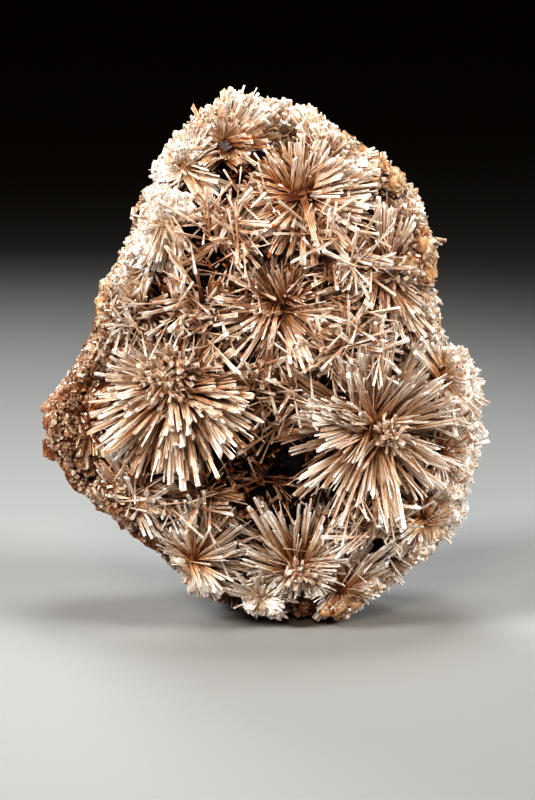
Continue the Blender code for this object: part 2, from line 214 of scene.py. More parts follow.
def distance_inside(points):
    """How far points (mm) lie inside the outline, seen from the front; negative outside it."""
    flat = points[..., [0, 2]]
    nearest = np.full(flat.shape[:-1], np.inf)
    crossings = np.zeros(flat.shape[:-1], int)
    for start, end in zip(OUTLINE, np.roll(OUTLINE, -1, axis=0)):
        side = end - start
        along = np.clip((flat - start) @ side / (side @ side), 0.0, 1.0)
        nearest = np.minimum(nearest, np.linalg.norm(flat - start - along[..., None] * side, axis=-1))
        spans = (start[1] > flat[..., 1]) != (end[1] > flat[..., 1])
        crossings += spans & (flat[..., 0] < start[0] + (flat[..., 1] - start[1]) / side[1] * side[0])
    return np.where(crossings % 2 == 1, nearest, -nearest)


def inside_pillow(points):
    """Whether points (mm) lie above the floor and inside the rounded shape."""
    depth = distance_inside(points)
    fullness = np.sqrt(1.0 - (1.0 - np.clip(depth / EDGE_ROUNDING, 0.0, 1.0)) ** 2)
    over_floor = points[..., 2] > 0.3
    in_front = points[..., 1] > -FRONT_DEPTH * fullness
    return (depth > 0.0) & over_floor & in_front & (points[..., 1] < BACK_DEPTH * fullness)


def room_along(starts, directions, longest):
    """How far one can go from each start (mm) before leaving the pillow."""
    steps = np.linspace(0.05, 1.0, 40)
    points = starts[:, None] + directions[:, None] * (steps[:, None] * longest)
    outside = ~inside_pillow(points)
    first = np.where(outside.any(axis=1), outside.argmax(axis=1), len(steps) - 1)
    return steps[first] * longest


def uneven_room(starts, directions, longest):
    """The room along each direction, shortened in patches so that the outer shape is notched."""
    room = room_along(starts, directions, longest)
    ends = starts + directions * room[:, None]
    dents = np.array([noise.noise(Vector(end / NOTCH_SIZE)) for end in ends])
    return room * (1.0 - NOTCH_DEPTH * np.clip(dents + 0.35, 0.0, 1.0))


print("outline", np.ptp(OUTLINE, axis=0), "mm")

# %% [markdown]
# ## One crystal, modelled six times
#
# Aragonite blades here are flat laths with square or chiselled ends, some grown side by side in steps, some
# broken off. Thousands of them are needed, so each kind is modelled once, one unit long and one unit wide,
# with a few dozen faces, and copied later. Six kinds are enough for the eye not to see a repeat.

# %% Crystal kinds
STEPS = (  # each blade of a stepped bundle: its place to the side, its height and its width
    (-0.44, 0.78, 0.27), (-0.15, 1.0, 0.30), (0.16, 0.90, 0.28), (0.45, 0.69, 0.25),
)


def start_crystal(sides, top, flatness):
    """A standing prism with its foot at the origin and a flat side to the front."""
    bpy.ops.object.select_all(action="DESELECT")
    bpy.ops.mesh.primitive_cylinder_add(
        vertices=sides, radius=0.5 / math.cos(math.pi / sides), depth=top,
        location=(0, 0, top / 2), rotation=(0, 0, math.pi / sides),
    )
    crystal = bpy.context.object
    bpy.ops.object.transform_apply(location=True, rotation=True, scale=True)
    crystal.scale.y = flatness
    bpy.ops.object.transform_apply(location=True, rotation=True, scale=True)
    return crystal


def pick_end(crystal, height):
    """Goes into edit mode with only the level face at a height selected."""
    for vert in crystal.data.vertices:
        vert.select = False
    for edge in crystal.data.edges:
        edge.select = False
    for face in crystal.data.polygons:
        face.select = abs(face.center.z - height) < 0.01 and abs(face.normal.z) > 0.9
    bpy.ops.object.mode_set(mode="EDIT")
    bpy.ops.mesh.select_mode(type="FACE")


def narrow_foot(crystal, share):
    """Blades widen outwards from the spray's middle, so the foot is narrower than the tip."""
    pick_end(crystal, 0.0)
    bpy.ops.transform.resize(value=(share, share, 1.0), center_override=(0, 0, 0))
    bpy.ops.object.mode_set(mode="OBJECT")


def close_end(crystal, height, rise, shrink, slide=0.0):
    """Draws the end face up into a smaller one, which bevels the end."""
    pick_end(crystal, height)
    bpy.ops.mesh.extrude_region_move(TRANSFORM_OT_translate={"value": (slide, 0.0, rise)})
    bpy.ops.transform.resize(value=(*shrink, 1.0), center_override=(slide, 0, height + rise))
    bpy.ops.object.mode_set(mode="OBJECT")


def in_order(triangles, across):
    """The triangles from the lowest corner numbers up, because extruding leaves a new order each run."""
    turned = (triangles.argmin(axis=1)[:, None] + np.arange(3)) % 3
    triangles = np.take_along_axis(triangles, turned, axis=1)
    order = np.lexsort(triangles.T)
    return triangles[order], np.take_along_axis(across, turned, axis=1)[order]


def taken(crystal):
    """The crystal's corners, its triangles, and how far across its side each triangle's corners lie."""
    bpy.ops.object.mode_set(mode="EDIT")
    bpy.ops.mesh.select_all(action="SELECT")
    bpy.ops.mesh.quads_convert_to_tris()
    bpy.ops.mesh.normals_make_consistent(inside=False)
    bpy.ops.object.mode_set(mode="OBJECT")
    corners = np.array([vert.co[:] for vert in crystal.data.vertices])
    triangles = np.array([face.vertices[:] for face in crystal.data.polygons])
    normals = np.array([face.normal[:] for face in crystal.data.polygons])
    bpy.data.objects.remove(crystal, do_unlink=True)
    sideways = np.cross(normals, (0.0, 0.0, 1.0))
    spread = np.einsum("tci,ti->tc", corners[triangles], sideways)
    middle = (spread.max(axis=1) + spread.min(axis=1)) / 2
    across = (spread > middle[:, None]).astype(float)
    across[np.abs(normals[:, 2]) > 0.5] = 0.5
    return corners, *in_order(triangles, across)


def plain_crystal(sides, top, flatness, foot, rise, shrink, slide=0.0):
    """A blade or prism with a bevelled end."""
    crystal = start_crystal(sides, top, flatness)
    close_end(crystal, top, rise, shrink, slide)
    narrow_foot(crystal, foot)
    return taken(crystal)


def broken_lath():
    """A blade that was snapped off at a slant."""
    crystal = start_crystal(4, 1.0, 0.55)
    bpy.ops.object.mode_set(mode="EDIT")
    bpy.ops.mesh.select_all(action="SELECT")
    bpy.ops.mesh.bisect(
        plane_co=(0, 0, 0.96), plane_no=(0.06, 0.02, 0.99), use_fill=True, clear_outer=True
    )
    bpy.ops.object.mode_set(mode="OBJECT")
    narrow_foot(crystal, 0.45)
    return taken(crystal)


def stepped_bundle():
    """Four thin blades grown side by side, each of its own length."""
    parts = []
    for offset, height, width in STEPS:
        crystal = start_crystal(4, height, 0.9)
        crystal.scale = (width, width * 1.4, 1.0)
        bpy.ops.object.transform_apply(location=True, rotation=True, scale=True)
        narrow_foot(crystal, 0.8)
        crystal.location = (offset, 0.2 * offset * offset, 0.0)
        bpy.ops.object.transform_apply(location=True, rotation=True, scale=True)
        parts.append(crystal)
    bpy.ops.object.select_all(action="DESELECT")
    for crystal in parts:
        crystal.select_set(True)
    bpy.context.view_layer.objects.active = parts[0]
    bpy.ops.object.join()
    return taken(parts[0])


KINDS = {
    "lath": plain_crystal(4, 0.985, 0.50, 0.45, 0.015, (0.78, 0.6)),
    "chisel": plain_crystal(4, 0.93, 0.55, 0.40, 0.07, (0.62, 0.15), 0.06),
    "prism": plain_crystal(6, 0.98, 0.80, 0.50, 0.02, (0.8, 0.8)),
    "point": plain_crystal(6, 0.74, 0.90, 0.75, 0.26, (0.14, 0.14)),
    "broken": broken_lath(),
    "bundle": stepped_bundle(),
}
for kind_name, (corners, triangles, _) in KINDS.items():
    print(kind_name, len(corners), "corners", len(triangles), "faces")

# %% [markdown]
# ## Copying crystals
#
# A crowd of crystals is one mesh. Each copy is turned so that its own Z follows its direction and its broad
# side faces a wanted way, stretched to its length and width, and moved to its start. Each corner also gets
# a place on a small colour map with 64 columns. The column is the crystal's own tone, the place within the
# column runs across each of its sides, and up runs the distance from the foot. So one material colours
# every crystal from a dark foot, part rust and part painted shade, to a pale tip, with painted highlights
# on its edges and painted shade in its fine grooves.

# %% Copying crystals
TONES = 64  # columns of the colour map
COLUMN_MARGIN = 0.06  # of a column, left free on each side so that no crystal takes its neighbour's tone


def unit(vectors):
    """The vectors with a length of one."""
    return vectors / np.maximum(np.linalg.norm(vectors, axis=-1, keepdims=True), 1e-9)


def crystal_axes(directions, broadsides, rolls):
    """Three axes for each crystal: across it, through its thin side, and along it."""
    across = np.cross(broadsides, directions)
    weak = np.linalg.norm(across, axis=1) < 0.05
    across[weak] = np.cross((0.31, 0.27, 0.91), directions[weak])
    across = unit(across)
    through = np.cross(directions, across)
    cos, sin = np.cos(rolls)[:, None], np.sin(rolls)[:, None]
    return np.stack((across * cos + through * sin, through * cos - across * sin, directions), axis=1)


def mesh_from(name, places, faces, material):
    """A mesh object from places in millimetres and triangles."""
    mesh = bpy.data.meshes.new(name)
    mesh.vertices.add(len(places))
    mesh.vertices.foreach_set("co", ((places + SHIFT) * MM).astype(np.float32).ravel())
    mesh.loops.add(faces.size)
    mesh.loops.foreach_set("vertex_index", faces.astype(np.int32).ravel())
    mesh.polygons.add(len(faces))
    mesh.polygons.foreach_set("loop_start", np.arange(0, faces.size, 3, dtype=np.int32))
    mesh.materials.append(material)
    made = bpy.data.objects.new(name, mesh)
    bpy.context.scene.collection.objects.link(made)
    return made


def add_crystals(name, crowd, material):
    """One mesh object from a crowd: each crystal's start, direction, broad side, sizes, tone and kind."""
    axes = crystal_axes(crowd["directions"], crowd["broadsides"], crowd["rolls"])
    sizes = np.stack((crowd["widths"], crowd["widths"], crowd["lengths"]), axis=1)
    places, faces, maps, offset = [], [], [], 0
    for index, (corners, triangles, across) in enumerate(KINDS.values()):
        chosen = np.flatnonzero(crowd["kinds"] == index)
        local = corners[None] * sizes[chosen, None]
        world = np.einsum("nci,nij->ncj", local, axes[chosen]) + crowd["starts"][chosen, None]
        numbers = np.arange(len(chosen))[:, None, None] * len(corners) + triangles[None] + offset
        column = np.floor(np.clip(crowd["tones"][chosen], 0.0, 0.999) * TONES)[:, None, None]
        sideways = (column + COLUMN_MARGIN + (1.0 - 2 * COLUMN_MARGIN) * across[None]) / TONES
        foot, top = crowd["feet"][chosen, None, None], crowd["tops"][chosen, None, None]
        height = foot + (top - foot) * np.clip(corners[triangles][None, :, :, 2], 0.0, 1.0)
        places.append(world.reshape(-1, 3))
        faces.append(numbers.reshape(-1, 3))
        maps.append(np.stack((sideways, height), axis=-1).reshape(-1, 2))
        offset += world.shape[0] * world.shape[1]
    places, faces, maps = np.concatenate(places), np.concatenate(faces), np.concatenate(maps)
    made = mesh_from(name, places, faces, material)
    layer = made.data.uv_layers.new(name="OFBake")
    layer.data.foreach_set("uv", maps.astype(np.float32).ravel())
    made.data.update(calc_edges=True)
    made.data.validate()
    made.data.shade_flat()
    return made


def choose_kinds(rng, count, shares):
    """Kind numbers at random, from a dictionary of kind names and shares."""
    weights = np.array([shares.get(kind, 0.0) for kind in KINDS])
    return rng.choice(len(KINDS), size=count, p=weights / weights.sum())


def joined(crowds):
    """Several crowds as one."""
    return {key: np.concatenate([crowd[key] for crowd in crowds]) for key in crowds[0]}


print("a crowd holds starts, directions, broadsides, rolls, lengths, widths, tones, feet, tops and kinds")

# %% [markdown]
# ## Crystal materials
#
# Aragonite is a carbonate with a glassy to resinous shine and a refractive index near 1.6. These blades are
# milky, so light goes a little way into them. Their feet are tan to dark brown, part iron stain from the
# ore and part painted shade from deep inside the sprays, and their tips are almost white. Fine grooves run
# along each blade, which is why the shine breaks into streaks. Their colour is also darkened along the
# grooves, a painted shade, and the edges of each side carry a painted highlight.

# %% Crystal materials
LIGHT_DEPTH = 0.8 * MM  # how far light goes into a milky blade
GROOVES_PER_SIDE = 3.3
GROOVE_DEPTH = 0.08 * MM


def aragonite(name, pale_stops, stained_stops, edge_highlight_colour, roughness, milkiness, clearness=0.0):
    """Milky aragonite: two ramps from foot to tip, mixed by each crystal's own tone, with painted
    highlights on the edges and painted shade in the grooves.
    """
    made, tree, shader = new_material(
        name, IOR=1.6, Subsurface_Weight=milkiness, Subsurface_Scale=LIGHT_DEPTH,
        Subsurface_Radius=(1.0, 0.75, 0.45), Transmission_Weight=clearness,
    )
    place = add_node(tree, "ShaderNodeUVMap", uv_map="OFBake").outputs["UV"]
    parts = add_node(tree, "ShaderNodeSeparateXYZ", links={"Vector": place})
    tone, height = parts.outputs["X"], parts.outputs["Y"]
    columns = add_node(tree, "ShaderNodeMath", {1: TONES}, {0: tone}, operation="MULTIPLY")
    across = add_node(tree, "ShaderNodeMath", links={0: columns.outputs[0]}, operation="FRACT")
    off_centre = add_node(tree, "ShaderNodeMath", {1: 0.5}, {0: across.outputs[0]}, operation="SUBTRACT")
    off_side = add_node(tree, "ShaderNodeMath", links={0: off_centre.outputs[0]}, operation="ABSOLUTE")
    # Painted highlight: the edges of each side are mixed towards a pale colour, more so towards the tip.
    edge = add_node(
        tree, "ShaderNodeMapRange", {"From Min": 0.22, "From Max": 0.42, "To Min": 0.0, "To Max": 0.75},
        {"Value": off_side.outputs[0]},
    )
    stretch = add_node(
        tree, "ShaderNodeMapping", {"Scale": (TONES * GROOVES_PER_SIDE, 4.0, 1.0)}, {"Vector": place}
    )
    groove = add_node(
        tree, "ShaderNodeTexNoise", {"Scale": 1.0, "Detail": 2.0, "Roughness": 0.6},
        {"Vector": stretch.outputs["Vector"]},
    ).outputs["Fac"]
    waver = add_node(
        tree, "ShaderNodeMapRange", {"From Min": 0.3, "From Max": 0.7, "To Min": -0.22, "To Max": 0.22},
        {"Value": groove},
    )
    level = add_node(
        tree, "ShaderNodeMath", links={0: height, 1: waver.outputs["Result"]},
        operation="ADD", use_clamp=True,
    )
    pale, stained = [
        add_node(tree, "ShaderNodeValToRGB", links={"Fac": level.outputs[0]}, stops=stops).outputs["Color"]
        for stops in (pale_stops, stained_stops)
    ]
    toned = add_node(
        tree, "ShaderNodeMix", links={"Factor": tone, FIRST: pale, SECOND: stained}, data_type="RGBA"
    )
    edge_highlight_share = add_node(
        tree, "ShaderNodeMath", links={0: edge.outputs["Result"], 1: height}, operation="MULTIPLY"
    )
    edge_highlighted = add_node(
        tree, "ShaderNodeMix", {SECOND: linear(edge_highlight_colour)},
        {"Factor": edge_highlight_share.outputs[0], FIRST: toned.outputs[MIXED]}, data_type="RGBA",
    )
    # Painted shade: the colour is darkened along the grooves.
    groove_shade = add_node(
        tree, "ShaderNodeValToRGB", links={"Fac": groove}, stops=((0.36, "#B47C38"), (0.54, "#FFFFFF"))
    )
    groove_shaded = add_node(
        tree, "ShaderNodeMix", {"Factor": 0.8},
        {FIRST: edge_highlighted.outputs[MIXED], SECOND: groove_shade.outputs["Color"]},
        data_type="RGBA", blend_type="MULTIPLY",
    )
    dull = add_node(
        tree, "ShaderNodeMapRange", {"To Min": roughness - 0.08, "To Max": roughness + 0.14},
        {"Value": groove},
    )
    bump = add_node(tree, "ShaderNodeBump", {"Strength": 0.4, "Distance": GROOVE_DEPTH}, {"Height": groove})
    tree.links.new(groove_shaded.outputs[MIXED], shader.inputs["Base Color"])
    tree.links.new(dull.outputs["Result"], shader.inputs["Roughness"])
    tree.links.new(bump.outputs["Normal"], shader.inputs["Normal"])
    return made


# The low ends of these ramps are dark brown: the blades' feet, deep in the sprays, are part iron stain and
# part painted shade.
ivory = aragonite(
    "ivory_aragonite_needles",
    ((0.0, "#5C2200"), (0.16, "#B06818"), (0.34, "#E2B478"), (0.62, "#F4E5D4"), (1.0, "#FCFEFF")),
    ((0.0, "#300E00"), (0.20, "#722E00"), (0.42, "#AE681E"), (0.75, "#D8AA74"), (1.0, "#F2E2D0")),
    "#FFFFFF", roughness=0.22, milkiness=0.06,
)
white = aragonite(
    "white_aragonite_needles",
    ((0.0, "#F2DCBC"), (0.20, "#FAECD8"), (0.45, "#FEF6EC"), (0.75, "#FFFAF4"), (1.0, "#FFFFFF")),
    ((0.0, "#7A4014"), (0.20, "#C48C50"), (0.45, "#E8C49A"), (0.75, "#F6E2CA"), (1.0, "#FEF8F0")),
    "#FFFFFF", roughness=0.22, milkiness=0.10,
)
druse = aragonite(
    "glassy_druse_crystals",
    ((0.0, "#8F5428"), (0.30, "#CC9666"), (0.65, "#EACBAA"), (1.0, "#FEF4E8")),
    ((0.0, "#401604"), (0.30, "#86461E"), (0.65, "#B87E54"), (1.0, "#E6C6A6")),
    "#FFF8EE", roughness=0.12, milkiness=0.05, clearness=0.25,
)
print("crystal materials:", [m.name for m in (ivory, white, druse)])

# %% [markdown]
# ## Crust and rock materials
#
# The matrix is limonite and carbonate: a dull, earthy mix of dark brown, rust and pinkish tan. Around the
# rim aragonite has grown into a granular crust of the same mineral as the blades, cream to pink with rusty
# specks. Both get patches of colour a few millimetres wide and grain of about a millimetre, and both get
# painted shade in their hollows. The meshes carry how hollow each spot lies as an attribute.

# %% Crust and rock materials
GRAIN_SIZE, SPECK_SIZE = 0.8 * MM, 2.2 * MM
GRAIN_HEIGHT = 0.3 * MM


def earthy(name, stops, speck_colour, specks, hollow_shade_colour, patch_size, roughness):
    """A granular mineral surface: patches, specks of another colour, and painted shade in its hollows."""
    made, tree, shader = new_material(name, IOR=1.55)
    place = add_node(tree, "ShaderNodeTexCoord").outputs["Object"]
    patch = add_node(
        tree, "ShaderNodeTexNoise", {"Scale": 1 / (patch_size * MM), "Detail": 4.0, "Roughness": 0.62},
        {"Vector": place},
    )
    stain = add_node(tree, "ShaderNodeValToRGB", links={"Fac": patch.outputs["Fac"]}, stops=stops)
    grain = add_node(
        tree, "ShaderNodeTexNoise", {"Scale": 1 / GRAIN_SIZE, "Detail": 3.0}, {"Vector": place}
    ).outputs["Fac"]
    fleck = add_node(
        tree, "ShaderNodeTexNoise", {"Scale": 1 / SPECK_SIZE, "Detail": 2.0, "Distortion": 0.6},
        {"Vector": place},
    )
    speck = add_node(
        tree, "ShaderNodeMapRange", {"From Min": specks, "From Max": specks + 0.05},
        {"Value": fleck.outputs["Fac"]},
    )
    specked = add_node(
        tree, "ShaderNodeMix", {SECOND: linear(speck_colour)},
        {"Factor": speck.outputs["Result"], FIRST: stain.outputs["Color"]}, data_type="RGBA",
    )
    shade = add_node(
        tree, "ShaderNodeValToRGB", links={"Fac": grain}, stops=((0.35, "#A08A78"), (0.62, "#FFFFFF"))
    )
    grained = add_node(
        tree, "ShaderNodeMix", {"Factor": 0.7},
        {FIRST: specked.outputs[MIXED], SECOND: shade.outputs["Color"]},
        data_type="RGBA", blend_type="MULTIPLY",
    )
    # Painted shade: the colour darkens where the mesh marks a hollow.
    hollow = add_node(tree, "ShaderNodeAttribute", attribute_name="hollow")
    dark = add_node(
        tree, "ShaderNodeValToRGB", links={"Fac": hollow.outputs["Fac"]},
        stops=((0.0, "#FFFFFF"), (1.0, hollow_shade_colour)),
    )
    sunk = add_node(
        tree, "ShaderNodeMix", {"Factor": 1.0},
        {FIRST: grained.outputs[MIXED], SECOND: dark.outputs["Color"]},
        data_type="RGBA", blend_type="MULTIPLY",
    )
    dull = add_node(
        tree, "ShaderNodeMapRange", {"To Min": roughness - 0.2, "To Max": roughness + 0.12},
        {"Value": grain},
    )
    bump = add_node(tree, "ShaderNodeBump", {"Strength": 0.5, "Distance": GRAIN_HEIGHT}, {"Height": grain})
    tree.links.new(sunk.outputs[MIXED], shader.inputs["Base Color"])
    tree.links.new(dull.outputs["Result"], shader.inputs["Roughness"])
    tree.links.new(bump.outputs["Normal"], shader.inputs["Normal"])
    return made


rust = earthy(
    "limonite_matrix",
    ((0.30, "#140500"), (0.43, "#361400"), (0.54, "#5C2A06"), (0.66, "#884A1A"), (0.80, "#AC7240")),
    "#100400", 0.60, "#100400", 7.0, 0.82,
)
white_crust = earthy(
    "white_aragonite_crust",
    ((0.30, "#E2BE94"), (0.48, "#F8E8D2"), (0.62, "#FFFAF2"), (0.76, "#F6E2CA")),
    "#B0682E", 0.68, "#A06A34", 5.0, 0.40,
)
tan_crust = earthy(
    "tan_aragonite_crust",
    ((0.30, "#BC8048"), (0.46, "#E4BE92"), (0.58, "#F6E2C8"), (0.76, "#E2B89A")),
    "#94481A", 0.62, "#84481A", 4.0, 0.45,
)
rock_lump = earthy(
    "pinkish_carbonate_lumps",
    ((0.32, "#6E3E22"), (0.43, "#AC7450"), (0.54, "#CEA080"), (0.68, "#EACEB4")),
    "#B4642C", 0.62, "#2A0E04", 3.2, 0.42,
)
CRUSTS = {"white": white_crust, "tan": tan_crust, "rock": rock_lump}
print("surface materials:", [m.name for m in (rust, *CRUSTS.values())])

# %% [markdown]
# ## The sprays' places
#
# The same table as in the construction model: the point that the blades radiate from and the longest blade,
# in millimetres. The looks follow the photograph: blade width, tone (0 white, 1 stained), and how dense a
# spray is. straws says how much of a jackstraw of loose needles it has, crust how much of its outer side
# has fused and of which kind, and knot how wide stubby crystals cover its heart. skew makes it reach
# further one way. push is how far it grows past the land of the next spray, and bridges lets its blades
# cross dark hollows. lean and lift turn it towards the viewer and up. The hearts of the rim sprays lie a
# little nearer the viewer than the middles of their solids, because their fans stand in front there.

# %% The sprays' places
PLAIN_SPRAY = {
    "straws": 0.0, "crust": 0.0, "kind": "tan", "knot": 0.0, "white": False,
    "skew": (0.0, 0.0, 0.0), "push": 1.5, "bridges": False,
}


def spray(place, reach, width=0.9, tone=0.35, lean=0.0, lift=0.0, fill=1.0, **special):
    """A row of the table: what is special about a spray, and the rest as in a plain one."""
    row = {"place": np.array(place), "reach": reach, "width": width, "tone": tone, "fill": fill}
    return PLAIN_SPRAY | row | special | {"towards": np.array((0.0, -lean, lift))}


SPRAYS = {
    "big_left_spray": spray(
        (-18.3, -19.0, 53.9), 27.0, 0.90, 0.44, lift=0.6, knot=0.62, skew=(0.0, 0.0, -0.32), push=3.0,
    ),
    "right_centre_spray": spray((24.3, -19.0, 44.9), 26.0, 0.64, 0.26, fill=0.8, knot=0.16, push=2.4),
    "centre_spray": spray((4.0, -18.0, 71.2), 22.0, 0.72, 0.24, fill=1.1, skew=(0.0, 0.0, -0.25), push=2.0),
    "upper_right_centre_spray": spray((26.8, -12.0, 76.7), 19.0, 0.80, 0.42, lean=0.8, knot=0.25, push=1.8),
    "top_centre_spray": spray(
        (8.5, -13.0, 94.0), 22.0, 0.85, 0.40, lean=0.5, skew=(0.1, 0.0, -0.22), push=2.0,
    ),
    "crown_spray": spray((-8.0, -4.0, 105.0), 16.0, 1.05, 0.42, lean=2.0, crust=0.6, skew=(0.0, 0.0, 0.45)),
    "white_edge_spray": spray(
        (-17.0, -5.0, 100.0), 14.0, 0.85, 0.02, lean=3.0, crust=0.55, kind="white", white=True, push=2.2,
    ),
    "upper_right_spray": spray(
        (14.4, -3.0, 101.0), 15.0, 0.95, 0.34, lean=2.2, crust=0.55, skew=(0.3, 0.0, 0.25),
    ),
    "tan_shoulder_spray": spray((25.2, 1.0, 95.0), 12.0, 0.90, 0.50, lean=1.8, crust=0.8),
    "left_shoulder_spray": spray(
        (-20.0, -8.0, 87.6), 14.0, 0.80, 0.18, lean=2.0, crust=0.7, kind="white", white=True,
    ),
    "upper_hollow_spray": spray((-7.5, -16.0, 84.5), 14.0, 0.60, 0.30, straws=0.8, fill=0.45),
    "upper_middle_spray": spray((14.0, -17.0, 82.0), 13.0, 0.60, 0.28, straws=0.7, fill=0.6),
    "left_middle_spray": spray((-12.5, -18.0, 71.0), 13.0, 0.60, 0.30, straws=0.8, fill=0.5),
    "left_rim_spray": spray((-25.5, -4.0, 77.7), 12.0, 0.80, 0.30, lean=1.8, crust=0.8),
    "left_waist_spray": spray((-26.0, -12.0, 68.6), 13.0, 0.72, 0.30, straws=0.3, fill=0.8),
    "left_spike_spray": spray((-32.0, -5.0, 61.0), 12.0, 0.85, 0.40, lean=1.2, crust=0.3, kind="rock"),
    "left_tip_spray": spray(
        (-39.0, -6.0, 46.7), 13.0, 0.95, 0.50, lean=2.4, crust=0.5, kind="rock", skew=(0.2, 0.0, -0.4),
        push=2.0,
    ),
    "small_star_spray": spray(
        (-28.0, -12.0, 30.0), 13.0, 0.75, 0.40, lean=1.0, straws=0.3, crust=0.3, kind="rock",
    ),
    "middle_spray": spray((3.5, -16.5, 52.5), 14.0, 0.65, 0.38, straws=0.6, fill=0.6),
    "hollow_spray": spray((1.5, -15.0, 33.0), 13.0, 0.70, 0.65, straws=0.2, fill=0.3),
    "lower_left_spray": spray((-12.5, -16.0, 29.0), 14.0, 0.90, 0.45, straws=0.2, fill=0.55),
    "lower_middle_spray": spray((21.0, -16.0, 25.5), 14.0, 0.70, 0.35, straws=0.6, fill=0.55),
    "middle_right_spray": spray((18.0, -19.0, 62.5), 14.0, 0.62, 0.28, straws=0.6, fill=0.7),
    "right_shoulder_spray": spray((32.0, -2.0, 85.5), 12.0, 0.85, 0.40, lean=2.0, crust=0.7),
    "right_waist_spray": spray((33.5, -6.0, 66.5), 13.0, 0.85, 0.32, lean=2.2, crust=0.5),
    "right_edge_spray": spray((39.0, -6.0, 54.5), 17.0, 0.80, 0.14, lean=2.6, crust=0.7, kind="white"),
    "right_lower_spray": spray((39.0, -6.0, 38.0), 16.0, 0.85, 0.10, lean=2.6, crust=0.75, kind="white"),
    "lower_right_spray": spray((35.5, -5.0, 22.5), 16.0, 0.85, 0.16, lean=2.0, crust=0.6, kind="white"),
    "lower_right_rim_spray": spray((27.5, -3.0, 13.5), 13.0, 0.85, 0.26, lean=2.2, crust=0.6),
    "bottom_centre_spray": spray(
        (7.5, -18.5, 13.5), 21.0, 0.60, 0.0, lean=3.0, lift=0.8, fill=0.75, knot=0.12,
        skew=(0.0, 0.0, 0.55), push=2.8, bridges=True,
    ),
    "bottom_left_spray": spray(
        (-15.0, -13.0, 15.0), 18.0, 0.66, 0.02, lean=3.0, lift=0.8, fill=0.8, crust=0.5, kind="white",
        skew=(0.3, 0.0, 0.45), push=2.4, bridges=True,
    ),
    "bottom_middle_spray": spray(
        (0.0, -14.0, 7.0), 11.0, 0.70, 0.04, lean=3.0, lift=0.5, crust=0.4, kind="white", white=True,
        push=1.8,
    ),
    "bottom_right_spray": spray(
        (17.0, -11.0, 8.5), 19.0, 0.66, 0.0, lean=3.0, lift=0.8, fill=0.8, crust=0.5,
        skew=(0.25, 0.0, 0.5), push=2.4, bridges=True,
    ),
    "back_crown_spray": spray((3.0, 12.0, 103.0), 15.0, 1.00, 0.35, crust=0.5),
    "back_shoulder_spray": spray((23.0, 13.0, 87.0), 15.0, 0.95, 0.40, crust=0.4),
    "back_upper_spray": spray((3.0, 19.0, 84.0), 16.0, 0.90, 0.30),
    "back_upper_left_spray": spray((-17.0, 14.0, 88.0), 15.0, 0.90, 0.25, crust=0.6, kind="white"),
    "back_middle_spray": spray((11.0, 20.0, 65.0), 17.0, 0.95, 0.35, knot=0.3),
    "back_left_spray": spray((-24.0, 14.0, 67.0), 15.0, 0.90, 0.35, crust=0.3),
    "back_right_spray": spray((28.5, 14.0, 70.5), 14.0, 0.90, 0.30, crust=0.4),
    "back_centre_spray": spray((-7.0, 21.0, 54.0), 17.0, 0.95, 0.40),
    "back_side_spray": spray((38.0, 11.0, 43.0), 15.0, 0.95, 0.20, crust=0.7, kind="white"),
    "back_lower_spray": spray((15.0, 20.0, 42.0), 16.0, 0.90, 0.35, straws=0.2),
    "back_lower_left_spray": spray((-12.0, 18.0, 33.0), 15.0, 0.90, 0.50),
    "back_corner_spray": spray((32.0, 12.0, 24.0), 14.0, 0.90, 0.30, crust=0.6),
    "back_foot_spray": spray((8.0, 20.0, 21.0), 13.0, 0.90, 0.45),
}
FORWARD = 5.0  # mm that a rim spray's heart lies nearer the viewer than its solid's middle
LEAST_COVER = 7.0  # mm of blades that are left in front of such a heart
BACK_STARTS = 8.0  # mm; a heart further back than this is seen from behind
for name, row in SPRAYS.items():
    off_middle = (row["place"] - MIDDLE) / HALF_SIZES ** 2
    row["facing"] = unit(unit(off_middle) + row["towards"])
    row["rim"] = unit(off_middle * (1.0, 0.35, 1.0))
    row["viewer"] = np.array((0.0, -1.0 if row["place"][1] < BACK_STARTS else 1.0, 0.0))
    if row["crust"]:
        space = room_along(row["place"][None], row["viewer"][None], 40.0)[0]
        row["place"] = row["place"] + min(FORWARD, max(space - LEAST_COVER, 0.0)) * row["viewer"]
missing = [name for name in frame["nodes"] if name not in SPRAYS and name != "rusty_matrix"]
print(len(SPRAYS), "sprays; nodes without a row:", missing)

# %% [markdown]
# ## The matrix skin
#
# The matrix is one lump of rock. A fine sphere is wrapped onto the construction solid from outside,
# smoothed so that the facets go, and given a grape-like relief. Wrapping keeps it exactly where the solid
# is.

# %% The matrix skin
SKIN_DETAIL = 7
GRAPE_SIZE, GRAPE_HEIGHT = 4.2, 1.1  # mm
CRUMB_SIZE, CRUMB_HEIGHT = 1.9, 0.35  # mm

bpy.ops.object.select_all(action="DESELECT")
bpy.ops.mesh.primitive_ico_sphere_add(
    subdivisions=SKIN_DETAIL, radius=0.1, location=(MIDDLE + SHIFT) * MM
)
skin = bpy.context.object
skin.name = "matrix_skin"
bpy.ops.object.transform_apply(location=True, rotation=True, scale=True)
wrap = skin.modifiers.new("Wrap", "SHRINKWRAP")
wrap.target = bpy.data.objects["rusty_matrix"]
wrap.wrap_method = "PROJECT"
wrap.use_negative_direction = True
wrap.use_positive_direction = False
relax = skin.modifiers.new("Relax", "SMOOTH")
relax.factor = 0.5
relax.iterations = 8
for modifier_name in ("Wrap", "Relax"):
    bpy.ops.object.modifier_apply(modifier=modifier_name)


def read_places(item):
    """A mesh's corners in millimetres, from the outline's own zero."""
    places = np.empty(len(item.data.vertices) * 3, np.float32)
    item.data.vertices.foreach_get("co", places)
    return places.reshape(-1, 3).astype(float) / MM - SHIFT


def write_places(item, places):
    """Moves a mesh's corners to places in millimetres."""
    item.data.vertices.foreach_set("co", ((places + SHIFT) * MM).astype(np.float32).ravel())
    item.data.update()


